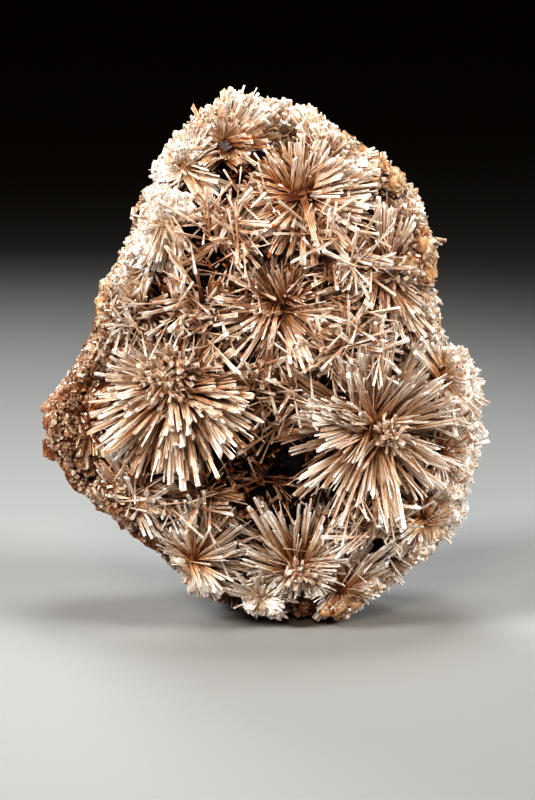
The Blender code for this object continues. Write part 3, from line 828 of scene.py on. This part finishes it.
def grapes(points, size):
    """A relief of rounded lumps, 0 between them and 1 on top of each."""
    nearest = np.array([noise.voronoi(Vector(point / size))[0][0] for point in points])
    return np.sqrt(np.clip(1.0 - (nearest / 0.75) ** 2, 0.0, 1.0))


def crumbs(points, size):
    """A fine uneven relief, about -1 to 1."""
    return np.array([noise.fractal(Vector(point / size), 1.0, 2.0, 3) for point in points])


def mark_hollow_shade(item, values):
    """Keeps how hollow each corner lies, 0 to 1, for the material's painted shade."""
    hollow = item.data.attributes.new("hollow", "FLOAT", "POINT")
    hollow.data.foreach_set("value", np.clip(values, 0.0, 1.0).astype(np.float32))


def alike(vector, count):
    """The same vector for each of a number of crystals or corners."""
    return np.repeat(vector[None], count, axis=0)


def dress(piece, replaced=None):
    """Says what the piece rides on, and hides the node that it stands for."""
    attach(piece, "root")
    if replaced:
        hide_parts(replaced)


skin_places = read_places(skin)
outward = unit(skin_places - MIDDLE)
lumps = grapes(skin_places, GRAPE_SIZE)
relief = GRAPE_HEIGHT * (lumps - 0.5) + CRUMB_HEIGHT * crumbs(skin_places, CRUMB_SIZE)
skin_places += outward * relief[:, None]
skin_places[:, 2] = np.maximum(skin_places[:, 2], 0.0)
write_places(skin, skin_places)
# Painted shade: the skin is marked darker the deeper it lies below the outer shape, and between its grapes.
room = room_along(alike(MIDDLE, len(skin_places)), outward, 80.0)
buried = 1.0 - np.linalg.norm(skin_places - MIDDLE, axis=1) / room
mark_hollow_shade(skin, buried * 2.4 - 0.2 + 0.4 * (1.0 - lumps))
skin.data.materials.append(rust)
skin.data.shade_smooth()
dress(skin, "rusty_matrix")
skin_tree = BVHTree.FromPolygons(
    [tuple(point) for point in skin_places], [face.vertices[:] for face in skin.data.polygons]
)
print("skin faces:", len(skin.data.polygons), "deepest share:", round(float(buried.max()), 2))

# %% [markdown]
# ## Where a crystal stops
#
# A crystal grows until it reaches its own length, the outer shape, or the land of the next spray, where it
# may push in a little. It never ends inside the rock.

# %% Where a crystal stops
CELL_WEIGHT = 0.62  # how strongly a longer reach moves the wall towards the shorter spray
ROCK_GAP = 0.2  # mm that a tip stays clear of the rock


def meeting_distance(name, directions):
    """How far each direction runs before it meets the land of another spray."""
    own = SPRAYS[name]
    nearest = np.full(len(directions), np.inf)
    for other_name, other in SPRAYS.items():
        if other_name == name:
            continue
        between = other["place"] - own["place"]
        gap = np.linalg.norm(between)
        difference = (own["reach"] ** 2 - other["reach"] ** 2) * CELL_WEIGHT ** 2
        wall = (gap ** 2 + difference) / (2.0 * gap)
        closing = directions @ (between / gap)
        nearest = np.minimum(nearest, np.where(closing > 0.05, wall / np.maximum(closing, 0.05), np.inf))
    return np.maximum(nearest, 0.4 * own["reach"])


def out_of_rock(points):
    """Whether points lie outside the matrix skin, seen from its middle."""
    clear = np.ones(len(points), bool)
    middle = Vector(MIDDLE)
    for index, point in enumerate(points):
        offset = Vector(point) - middle
        hit = skin_tree.ray_cast(middle, offset.normalized())[0]
        clear[index] = hit is None or offset.length > (hit - middle).length + ROCK_GAP
    return clear


def smooth_step(values, low, high):
    """0 up to low, 1 from high on, and a smooth rise between."""
    share = np.clip((values - low) / (high - low), 0.0, 1.0)
    return share * share * (3.0 - 2.0 * share)


def even_directions(count, rng, disorder):
    """Directions spread evenly over a sphere along a golden spiral, each shifted a little."""
    index = np.arange(count)
    height = 1.0 - 2.0 * (index + 0.5) / count
    ring = np.sqrt(1.0 - height ** 2)
    angle = index * math.pi * (3.0 - math.sqrt(5.0)) + rng.uniform(0.0, math.tau)
    even = np.stack((ring * np.cos(angle), ring * np.sin(angle), height), axis=1)
    return unit(even + rng.normal(0.0, disorder, even.shape))


def angles_to(directions, axis):
    """The angle between each direction and an axis."""
    return np.arccos(np.clip(directions @ axis, -1.0, 1.0))


test_directions = even_directions(500, np.random.default_rng(0), 0.0)
print("even directions, mean:", np.round(test_directions.mean(axis=0), 3))

# %% [markdown]
# ## Blades of a spray
#
# Blades come in small groups that share a direction and a side, with ends at different heights, like books
# pushed unevenly onto a shelf. The groups are spread evenly over a sphere, because chance alone leaves bald
# patches. Few blades point straight out of the specimen: those that did have broken off or stayed short, so
# each sun looks flattened and one sees the blades from the side. Between the suns the photograph shows dark
# hollows. Only the sprays with bridges send blades across them. Blades that end far below the outer shape
# are darker, part stain and part painted shade.

# %% Blades of a spray
SPREAD = math.radians(104)
BLADE_DENSITY = 3.0  # blades grown per square millimetre of reach, before any is dropped
GROUP_SHARES = (0.24, 0.24, 0.20, 0.14, 0.10, 0.08)  # of groups with one to six blades
BLADES_PER_GROUP = 2.8
FACING_SHARE = 0.10  # of the groups that point straight out of the specimen
GROUP_JITTER, BLADE_JITTER = 0.05, 0.035  # of a group's start, in reaches, and of a blade's direction
SHORTEST_BLADE = 0.24  # of the reach
FLOOR_GAP = 0.6  # mm that the tips stay above the floor
BLADE_KINDS = {"lath": 6, "chisel": 3, "broken": 2, "bundle": 5, "prism": 1}
HOLLOWS = np.array((  # x, z and radius in mm of the dark hollows on the front
    (-16.1, 93.0, 3.0), (-12.7, 86.3, 3.6), (-10.5, 81.0, 3.2), (-12.7, 75.0, 3.6), (-21.6, 75.0, 2.8),
    (-8.2, 100.0, 2.6), (14.0, 81.3, 3.2), (-3.0, 62.0, 2.6), (13.0, 55.0, 2.6), (5.1, 36.7, 4.4),
    (0.7, 31.5, 4.4), (1.8, 21.5, 2.8), (14.0, 30.0, 3.8), (24.1, 17.6, 2.8), (33.0, 31.0, 2.6),
))


def in_hollow(points):
    """Whether points lie in one of the front's dark hollows."""
    apart = np.linalg.norm(points[:, None][..., (0, 2)] - HOLLOWS[None, :, :2], axis=-1)
    uneven = 0.8 + 0.7 * np.array([noise.noise(Vector(point / 2.5)) for point in points])
    return (apart < HOLLOWS[:, 2] * uneven[:, None]).any(axis=1) & (points[:, 1] < 0.0)


def reach_towards(row, directions):
    """The reach in each direction, which a spray's skew makes longer one way and shorter the other."""
    share = 1.0 + directions @ np.array(row["skew"])
    return row["reach"] * share / (1.0 + np.linalg.norm(row["skew"]))


def picked(crowd, kept):
    """The chosen crystals of a crowd."""
    return {key: values[kept] for key, values in crowd.items()}


def stain_and_shade_of_depth(places, facing):
    """Extra darkness for crystals that end deep below the outer shape: part stain, part painted shade."""
    sunk = room_along(places, alike(facing, len(places)), 30.0)
    return 0.65 * smooth_step(sunk, 5.0, 15.0)


def group_directions(row, rng, density):
    """The directions of a spray's groups of blades, few of them straight out of the specimen."""
    groups = even_directions(
        round(density * row["reach"] ** 2 / BLADES_PER_GROUP), rng, 1.1 / math.sqrt(density * row["reach"])
    )
    groups = groups[groups @ row["facing"] > math.cos(SPREAD)]
    share = smooth_step(angles_to(groups, row["facing"]), 0.55, 1.25)
    if row["crust"]:
        share = share * smooth_step(angles_to(groups, row["viewer"]), 0.45, 1.05)
    return groups[rng.random(len(groups)) < FACING_SHARE + (1.0 - FACING_SHARE) * share]


def blade_crowd(name, rng, density):
    """A spray's blades, side by side in groups, each to its own length."""
    row = SPRAYS[name]
    reach, place, facing = row["reach"], row["place"], row["facing"]
    groups = group_directions(row, rng, density)
    sizes = rng.choice(np.arange(len(GROUP_SHARES)) + 1, size=len(groups), p=GROUP_SHARES)
    drift = np.array([noise.noise(Vector(group * 3.2 + place)) for group in groups])
    longest = np.clip(rng.uniform(0.56, 1.12, len(groups)) + 0.35 * drift, 0.35, 1.0)
    index = np.repeat(np.arange(len(groups)), sizes)
    count = len(index)
    order = np.concatenate([np.arange(size) - (size - 1) / 2 for size in sizes])
    directions = unit(groups[index] + rng.normal(0.0, BLADE_JITTER, (count, 3)))
    outwards = angles_to(directions, facing)
    broadsides = unit(facing + 0.35 * directions)
    turn = rng.normal(0.0, 0.5, len(groups))[index] + rng.normal(0.0, 0.1, count)
    widths = row["width"] * np.minimum(rng.lognormal(0.0, 0.28, count), 1.6)
    across = crystal_axes(directions, broadsides, turn)[:, 0]
    lengths = reach_towards(row, directions) * longest[index] * rng.uniform(0.76, 1.0, count)
    pushed = rng.uniform(0.95, row["push"], count)
    lengths = np.minimum(lengths, meeting_distance(name, directions) * pushed)
    room = uneven_room(alike(place, count), directions, reach * 1.05)
    lengths = np.minimum(lengths, room * rng.uniform(0.93, 1.0, count))
    lengths *= 0.40 + 0.60 * smooth_step(outwards, 0.35, 1.10)
    aside = across * (order * widths * 0.85)[:, None]
    starts = place + rng.normal(0.0, GROUP_JITTER * reach, (len(groups), 3))[index] + aside * 0.5
    tips = place + directions * lengths[:, None] + aside + rng.normal(0.0, 0.8, (len(groups), 3))[index]
    kept = (lengths > reach * SHORTEST_BLADE) & (outwards > row["knot"] * 0.8)
    kept &= out_of_rock(tips) & (tips[:, 2] > FLOOR_GAP)
    spans = np.linalg.norm(tips - starts, axis=1)
    shades = row["tone"] + rng.normal(0.0, 0.10, len(groups))[index] + rng.normal(0.0, 0.12, count)
    if not row["bridges"]:
        kept &= ~in_hollow(tips) & ~in_hollow(0.3 * starts + 0.7 * tips)
        # Part stain, part painted shade: blades that end deep below the outer shape get a darker tone.
        shades += stain_and_shade_of_depth(tips, facing)
    return picked({
        "starts": starts, "directions": (tips - starts) / spans[:, None], "broadsides": broadsides,
        "rolls": turn, "lengths": spans, "widths": widths * np.clip(spans / reach + 0.2, 0.55, 1.05),
        "tones": shades, "feet": np.zeros(count), "tops": rng.uniform(0.86, 1.0, count),
        "kinds": choose_kinds(rng, count, BLADE_KINDS),
    }, kept)


test_crowd = blade_crowd("big_left_spray", np.random.default_rng(0), BLADE_DENSITY)
print("blades of a test spray:", len(test_crowd["lengths"]))
print("its longest blade:", round(float(test_crowd["lengths"].max()), 1), "mm")

# %% [markdown]
# ## Jackstraw needles
#
# Between the large suns the needles are thin and seem thrown down at random. Looked at closely, they are
# small stars that grew from many points at once and ran through one another. So a handful of star centres
# is scattered in the spray's land, and each gets a few needles. A few of them cross the dark hollows.

# %% Jackstraw needles
STARS_PER_SPRAY = 42
NEEDLES_PER_STAR = 7
STRAW_LENGTHS, SHORTEST_STRAW = (5.0, 12.0), 3.5  # mm
STRAW_WIDTH = 0.58  # mm
CROSSING_SHARE = 0.15  # of the needles may cross a hollow
STRAW_KINDS = {"lath": 5, "chisel": 2, "prism": 1, "broken": 2}


def straw_crowd(name, rng):
    """A jackstraw of thin needles in a spray's land."""
    row = SPRAYS[name]
    reach, place, facing = row["reach"], row["place"], row["facing"]
    stars = round(row["straws"] * STARS_PER_SPRAY)
    ways = unit(rng.normal(size=(stars, 3)) + facing * 0.5)
    hearts = place + ways * (reach * rng.uniform(0.15, 0.85, (stars, 1)))
    hearts = hearts[inside_pillow(hearts + facing * 2.0)]
    index = np.repeat(np.arange(len(hearts)), NEEDLES_PER_STAR)
    count = len(index)
    loose = rng.normal(size=(count, 3))
    loose -= 0.35 * (loose @ facing)[:, None] * facing
    directions = unit(loose + facing * 0.35)
    lengths = rng.uniform(*STRAW_LENGTHS, count)
    starts = hearts[index] + rng.normal(0.0, 0.6, (count, 3))
    room = room_along(starts, directions, 15.0)
    lengths = np.minimum(lengths, room * 0.97)
    tips = starts + directions * lengths[:, None]
    kept = (lengths > SHORTEST_STRAW) & out_of_rock(tips) & (tips[:, 2] > FLOOR_GAP)
    crossing = rng.random(count) < CROSSING_SHARE
    for share in (0.4, 0.7, 1.0):
        kept &= crossing | ~in_hollow(starts + directions * (share * lengths)[:, None])
    return picked({
        "starts": starts, "directions": directions, "broadsides": alike(facing, count),
        "rolls": rng.normal(0.0, 0.7, count), "lengths": lengths,
        "widths": STRAW_WIDTH * rng.lognormal(0.0, 0.3, count),
        # Part stain, part painted shade: needles that start deep below the outer shape get a darker tone.
        "tones": row["tone"] - 0.25 + rng.normal(0.0, 0.15, count) + stain_and_shade_of_depth(starts, facing),
        "feet": np.full(count, 0.45), "tops": np.full(count, 1.0),
        "kinds": choose_kinds(rng, count, STRAW_KINDS),
    }, kept)


test_crowd = straw_crowd("upper_hollow_spray", np.random.default_rng(0))
print("needles of a test spray:", len(test_crowd["lengths"]))

# %% [markdown]
# ## Fused fans
#
# On the outer side of the rim sprays the blades stand so close that they have fused to fans: wide, pale,
# with a scalloped edge. They are made of the same crystals as the blades, only wider, packed, and all
# nearly the same length. Then every spray gets its blades, needles and fan as one piece, which stands for
# the spray's solid.

# %% Fused fans
FAN_KINDS = {"lath": 4, "bundle": 4, "chisel": 3}
FAN_BLADES = 1300
WIDEST_FAN_BLADE = {"white": 2.9, "tan": 2.2}  # mm
CRUST_START = 0.03  # of the reach, where a spray has no crust
FAN_START = 0.08  # of the reach


def crust_cover(row, directions):
    """How much of a crust a spray has in each direction: 0 none, 1 full, towards its outer side."""
    cover = smooth_step(directions @ row["rim"], 0.75 - 1.35 * row["crust"], 1.15 - 1.05 * row["crust"])
    return cover * smooth_step(angles_to(directions, row["viewer"]), 0.8, 1.35)


def crust_radius(name, directions, fullest):
    """How far a crust that fills a share of the reach at its fullest goes in each direction, in mm."""
    row = SPRAYS[name]
    radii = row["reach"] * (CRUST_START + (fullest - CRUST_START) * crust_cover(row, directions))
    return np.minimum(radii, meeting_distance(name, directions) * 1.12)


def fan_crowd(name, rng):
    """The packed, wide blades on the outer side of a rim spray."""
    row = SPRAYS[name]
    reach, place = row["reach"], row["place"]
    directions = even_directions(FAN_BLADES, rng, 0.05)
    directions = directions[crust_cover(row, directions) > 0.35]
    count = len(directions)
    lengths = crust_radius(name, directions, 1.0) * rng.uniform(0.86, 1.06, count)
    room = uneven_room(alike(place, count), directions, reach * 1.1)
    lengths = np.minimum(lengths, room * rng.uniform(0.78, 1.0, count))
    tips = place + directions * lengths[:, None]
    kept = (lengths > reach * 0.35) & out_of_rock(tips) & (tips[:, 2] > 0.8)
    return picked({
        "starts": place + directions * (FAN_START * reach),
        "directions": unit(directions + rng.normal(0.0, 0.04, (count, 3))),
        "broadsides": unit(row["viewer"] + rng.normal(0.0, 0.25, (count, 3))), "rolls": np.zeros(count),
        "lengths": lengths - FAN_START * reach,
        "widths": rng.uniform(0.9, WIDEST_FAN_BLADE[row["kind"]], count),
        "tones": row["tone"] + rng.normal(0.0, 0.08, count),
        "feet": np.full(count, 0.30), "tops": rng.uniform(0.8, 1.0, count),
        "kinds": choose_kinds(rng, count, FAN_KINDS),
    }, kept)


SPRAY_SEED = 5
crystal_rng = np.random.default_rng(SPRAY_SEED)
crystal_count = face_count = 0
for name, row in SPRAYS.items():
    crowds = [blade_crowd(name, crystal_rng, BLADE_DENSITY * row["fill"])]
    if row["straws"]:
        crowds.append(straw_crowd(name, crystal_rng))
    if row["crust"] and row["kind"] != "rock":
        crowds.append(fan_crowd(name, crystal_rng))
    crowd = joined(crowds)
    crystal_count += len(crowd["lengths"])
    made = add_crystals(f"{name}_crystals", crowd, white if row["white"] else ivory)
    face_count += len(made.data.polygons)
    dress(made, name)
print("crystals on the sprays:", crystal_count, "with", face_count, "faces")

# %% [markdown]
# ## Crust lobes and knots
#
# Behind the fans, and over some hearts, the crystals have grown into one granular mass. It starts as a
# lobe: a fine sphere around the spray's heart whose radius follows the crust, roughened with grape-like
# lumps. Stubby crystals then stand on it, glassy ones on the knots and on bare rock. A table gives each
# kind of crust its fullest share of the reach, its lumps and its stubs.

# %% Crust lobes and knots
STUB_KINDS = {"point": 3, "lath": 3, "prism": 1, "chisel": 3}
GLASSY_KINDS = {"point": 2, "prism": 2, "lath": 3, "chisel": 2}
ROOT, SHORTEST_STUB = 0.3, 0.7  # mm
KNOT_SAMPLES = 520
TAN_LOOK = {
    "fullest": 0.60, "detail": 5, "lump_size": 3.6, "lump_height": 1.7,
    "samples": 90, "bare_within": 0.75 * 0.60, "longest": 3.6, "width": 0.75, "kinds": STUB_KINDS,
}
CRUST_LOOKS = {  # fullest and bare_within are shares of the reach; sizes are in millimetres
    "tan": TAN_LOOK,
    "white": TAN_LOOK | {"fullest": 0.46, "samples": 40, "bare_within": 0.75 * 0.46},
    "rock": {
        "fullest": 0.62, "detail": 6, "lump_size": 4.4, "lump_height": 3.2,
        "samples": 900, "bare_within": 0.0, "longest": 2.6, "width": 1.0, "kinds": GLASSY_KINDS,
    },
}


def add_lobe(name, heart, radii_of, detail, lump_size, lump_height, material):
    """A lumpy body around a heart, with its radius in millimetres given for each direction."""
    bpy.ops.object.select_all(action="DESELECT")
    bpy.ops.mesh.primitive_ico_sphere_add(
        subdivisions=detail, radius=MM, location=(heart + SHIFT) * MM
    )
    lobe = bpy.context.object
    lobe.name = name
    bpy.ops.object.transform_apply(location=True, rotation=True, scale=True)
    directions = unit(read_places(lobe) - heart)
    radii = radii_of(directions)
    largest = radii.max()
    room = uneven_room(alike(heart, len(directions)), directions, largest * 1.3)
    radii = np.minimum(radii, room * 0.95)
    places = heart + directions * radii[:, None]
    lumps = grapes(places, lump_size)
    relief = lump_height * (lumps - 0.6) + 0.30 * lump_height * crumbs(places, lump_size * 0.4)
    places += directions * (relief * np.clip(radii / largest * 2.0, 0.2, 1.0))[:, None]
    places[:, 2] = np.maximum(places[:, 2], 0.4)
    write_places(lobe, places)
    # Painted shade: the lobe is marked darker between its lumps.
    mark_hollow_shade(lobe, 1.15 - 1.3 * lumps)
    lobe.data.materials.append(material)
    lobe.data.shade_smooth()
    return lobe


def surface_samples(rng, item, count):
    """Places and normals spread over a mesh by area."""
    places = read_places(item)
    corners = places[np.array([face.vertices[:] for face in item.data.polygons])]
    crosses = np.cross(corners[:, 1] - corners[:, 0], corners[:, 2] - corners[:, 0])
    areas = np.linalg.norm(crosses, axis=1)
    chosen = rng.choice(len(areas), size=count, p=areas / areas.sum())
    weights = rng.dirichlet((1.0, 1.0, 1.0), count)
    return (corners[chosen] * weights[..., None]).sum(axis=1), crosses[chosen] / areas[chosen, None]


def stub_crowd(rng, starts, normals, lengths, width, tone, kinds, lean, foot, top):
    """Short crystals that stand on a surface, each a little askew and rooted a little inside it."""
    count = len(starts)
    directions = unit(normals + rng.normal(0.0, lean, (count, 3)))
    lengths = np.minimum(lengths, room_along(starts, directions, 8.0) + ROOT)
    tips = starts + directions * lengths[:, None]
    kept = (lengths > SHORTEST_STUB) & (starts[:, 2] > 1.8) & (tips[:, 2] > 0.8)
    return picked({
        "starts": starts - directions * ROOT, "directions": directions,
        "broadsides": unit(rng.normal(size=(count, 3))), "rolls": np.zeros(count), "lengths": lengths,
        "widths": width * np.minimum(rng.lognormal(0.0, 0.4, count), 1.4),
        "tones": tone + rng.normal(0.0, 0.22, count),
        "feet": np.full(count, foot), "tops": np.full(count, top),
        "kinds": choose_kinds(rng, count, kinds),
    }, kept)


def add_crust(name, row, rng):
    """A spray's crust lobe with its stubby crystals; says how many there are."""
    heart, look = row["place"], CRUST_LOOKS[row["kind"]]
    rock = row["kind"] == "rock"
    lobe = add_lobe(
        name.replace("_spray", "_crust"), heart, lambda way: crust_radius(name, way, look["fullest"]),
        look["detail"], look["lump_size"], look["lump_height"], CRUSTS[row["kind"]],
    )
    dress(lobe, None)
    spots, normals = surface_samples(rng, lobe, look["samples"])
    leaning = unit(normals + 0.8 * unit(spots - heart))
    kept = np.linalg.norm(spots - heart, axis=1) > look["bare_within"] * row["reach"]
    stubs = stub_crowd(
        rng, spots[kept], leaning[kept], rng.uniform(0.9, look["longest"], kept.sum()), look["width"],
        0.75 if rock else row["tone"] * 0.6, look["kinds"], 0.35, 0.3, 0.95,
    )
    if len(stubs["lengths"]):
        finish = druse if rock else (white if row["white"] else ivory)
        dress(add_crystals(name.replace("_spray", "_crust_crystals"), stubs, finish))
    return len(stubs["lengths"])


def knot_radius(row, way):
    """How far the knot on a spray's heart goes in each direction, in millimetres."""
    cover = smooth_step(way @ row["facing"], math.cos(row["knot"] * 1.35), math.cos(row["knot"] * 0.65))
    wobble = np.array([noise.noise(Vector(direction * 2.2)) for direction in way])
    return row["reach"] * (0.12 + 0.19 * cover * (1.0 + 0.7 * wobble))


def add_knot(name, row, rng):
    """The knot of glassy crystals on a spray's heart; says how many there are."""
    heart = row["place"]
    lobe = add_lobe(
        name.replace("_spray", "_knot"), heart, lambda way: knot_radius(row, way), 5, 2.4, 1.8, tan_crust
    )
    dress(lobe)
    spots, normals = surface_samples(rng, lobe, KNOT_SAMPLES)
    apart = unit(spots - heart)
    kept = apart @ row["facing"] > math.cos(row["knot"] * 1.2)
    stubs = stub_crowd(
        rng, spots[kept], unit(normals + 0.3 * apart)[kept], rng.uniform(0.8, 4.6, kept.sum()),
        0.9, 0.15, GLASSY_KINDS, 0.8, 0.3, 1.0,
    )
    dress(add_crystals(name.replace("_spray", "_knot_crystals"), stubs, druse))
    return len(stubs["lengths"])


CRUST_SEED = 12
crust_rng = np.random.default_rng(CRUST_SEED)
stub_count = 0
for name, row in SPRAYS.items():
    if row["crust"]:
        stub_count += add_crust(name, row, crust_rng)
    if row["knot"]:
        stub_count += add_knot(name, row, crust_rng)
print("stubby crystals:", stub_count)

# %% [markdown]
# ## Bare rock at the rim
#
# Along the lower left the rock lies bare: pinkish brown lumps like small grapes, with brown stubs. Each
# stretch is a lobe of its own that reaches the outer shape. A few smaller knobs of pale crust sit between
# the sprays of the rim, and three lumps carry the rock on round the back of the left tip.

# %% Bare rock at the rim
ROCK_PLACES = {  # name: place and radius in mm, finish of the body, and tone of its crystals
    "tip_upper_rock": ((-40.0, -3.0, 49.0), 9.0, rock_lump, 0.65),
    "tip_lower_rock": ((-42.0, -1.0, 40.5), 8.5, rock_lump, 0.55),
    "rim_upper_rock": ((-36.5, -3.0, 33.0), 8.5, rock_lump, 0.55),
    "rim_middle_rock": ((-30.0, -4.0, 26.0), 8.5, rock_lump, 0.6),
    "rim_lower_rock": ((-22.5, -4.0, 19.0), 8.0, rock_lump, 0.6),
    "waist_rock": ((-33.5, 0.0, 64.0), 6.5, rock_lump, 0.8),
    "foot_rock": ((8.0, -6.0, 8.0), 7.5, rock_lump, 0.6),
    "right_knob": ((34.0, -9.0, 80.0), 5.6, tan_crust, 0.35),
    "shoulder_knob": ((27.0, -6.0, 97.0), 4.8, tan_crust, 0.25),
    "upper_knob": ((20.0, -5.0, 103.0), 4.2, tan_crust, 0.2),
    "left_knob": ((-26.5, -6.0, 90.0), 3.8, tan_crust, 0.3),
    "waist_knob": ((-32.0, -8.0, 70.0), 5.0, tan_crust, 0.3),
    "back_tip_rock": ((-37.0, 9.0, 41.0), 9.0, rock_lump, 0.6),
    "back_rim_rock": ((-27.0, 10.0, 25.0), 9.0, rock_lump, 0.6),
    "back_waist_rock": ((-34.0, 10.0, 53.0), 8.5, rock_lump, 0.6),
}
ROCK_LUMP_SIZE, ROCK_LUMP_HEIGHT = 4.6, 3.8  # mm
KNOB_RADIUS = 6.0  # mm; smaller lobes need fewer faces
STUBS_PER_AREA = 10.0  # per square millimetre of a lobe's radius
ROCK_SEED = 3
rock_rng = np.random.default_rng(ROCK_SEED)
for name, (place, radius, finish, tone) in ROCK_PLACES.items():
    lobe = add_lobe(
        name, np.array(place), lambda way, radius=radius: np.full(len(way), radius),
        6 if radius > KNOB_RADIUS else 5, ROCK_LUMP_SIZE, ROCK_LUMP_HEIGHT, finish,
    )
    dress(lobe, None)
    spots, normals = surface_samples(rock_rng, lobe, round(STUBS_PER_AREA * radius * radius))
    stubs = stub_crowd(
        rock_rng, spots, normals, rock_rng.uniform(0.7, 2.0, len(spots)),
        0.9, tone, GLASSY_KINDS, 0.5, 0.25, 1.0,
    )
    made = add_crystals(f"{name}_crystals", stubs, druse)
    dress(made, None)
print("rock lobes:", len(ROCK_PLACES))

# %% [markdown]
# ## Carpet
#
# Between the sprays the rock carries a carpet of short crystals. Deep between the front sprays it is
# darker, part stain and part painted shade, and in the hollows it takes only the darkest foot of its
# colours, a painted shade. On the sides and the back, where it lies open, it is paler.

# %% Carpet
CARPET_SAMPLES, CARPET_SEED = 7600, 8
CARPET_KINDS = {"lath": 4, "point": 2, "chisel": 3, "broken": 1}
HEART_SHARE = 0.36  # of the reach, where the carpet leaves room for a spray's heart


def away_from_hearts(points, share):
    """Whether points are outside every spray's dense heart."""
    clear = np.ones(len(points), bool)
    for row in SPRAYS.values():
        clear &= np.linalg.norm(points - row["place"], axis=1) > share * row["reach"]
    return clear


carpet_rng = np.random.default_rng(CARPET_SEED)
spots, normals = surface_samples(carpet_rng, skin, CARPET_SAMPLES)
kept = away_from_hearts(spots, HEART_SHARE) & (spots[:, 2] > 3.0)
spots, normals = spots[kept], normals[kept]
bare = smooth_step(spots[:, 1], -9.0, -2.0)  # 0 between the front sprays, 1 on the sides and the back
# Part stain, part painted shade: between the front sprays the carpet takes a darker tone and the lower part
# of its colour ramp; in the hollows only the darkest foot, a painted shade.
stubs = stub_crowd(
    carpet_rng, spots, normals, carpet_rng.uniform(1.5, 5.5, len(spots)),
    0.75, 0.9 - 0.45 * bare, CARPET_KINDS, 0.5, 0.0, np.where(in_hollow(spots), 0.05, 0.5 + 0.35 * bare),
)
carpet = add_crystals("crystal_carpet", stubs, ivory)
dress(carpet)
print("carpet crystals:", len(stubs["lengths"]), "with", len(carpet.data.polygons), "faces")

# %% Finish


needles = [item for item in bpy.data.objects if item.name.endswith(("_crystals", "_carpet"))]
print("faces of all crystals:", sum(len(item.data.polygons) for item in needles))
print("most faces in one piece:", max(len(item.data.polygons) for item in needles))
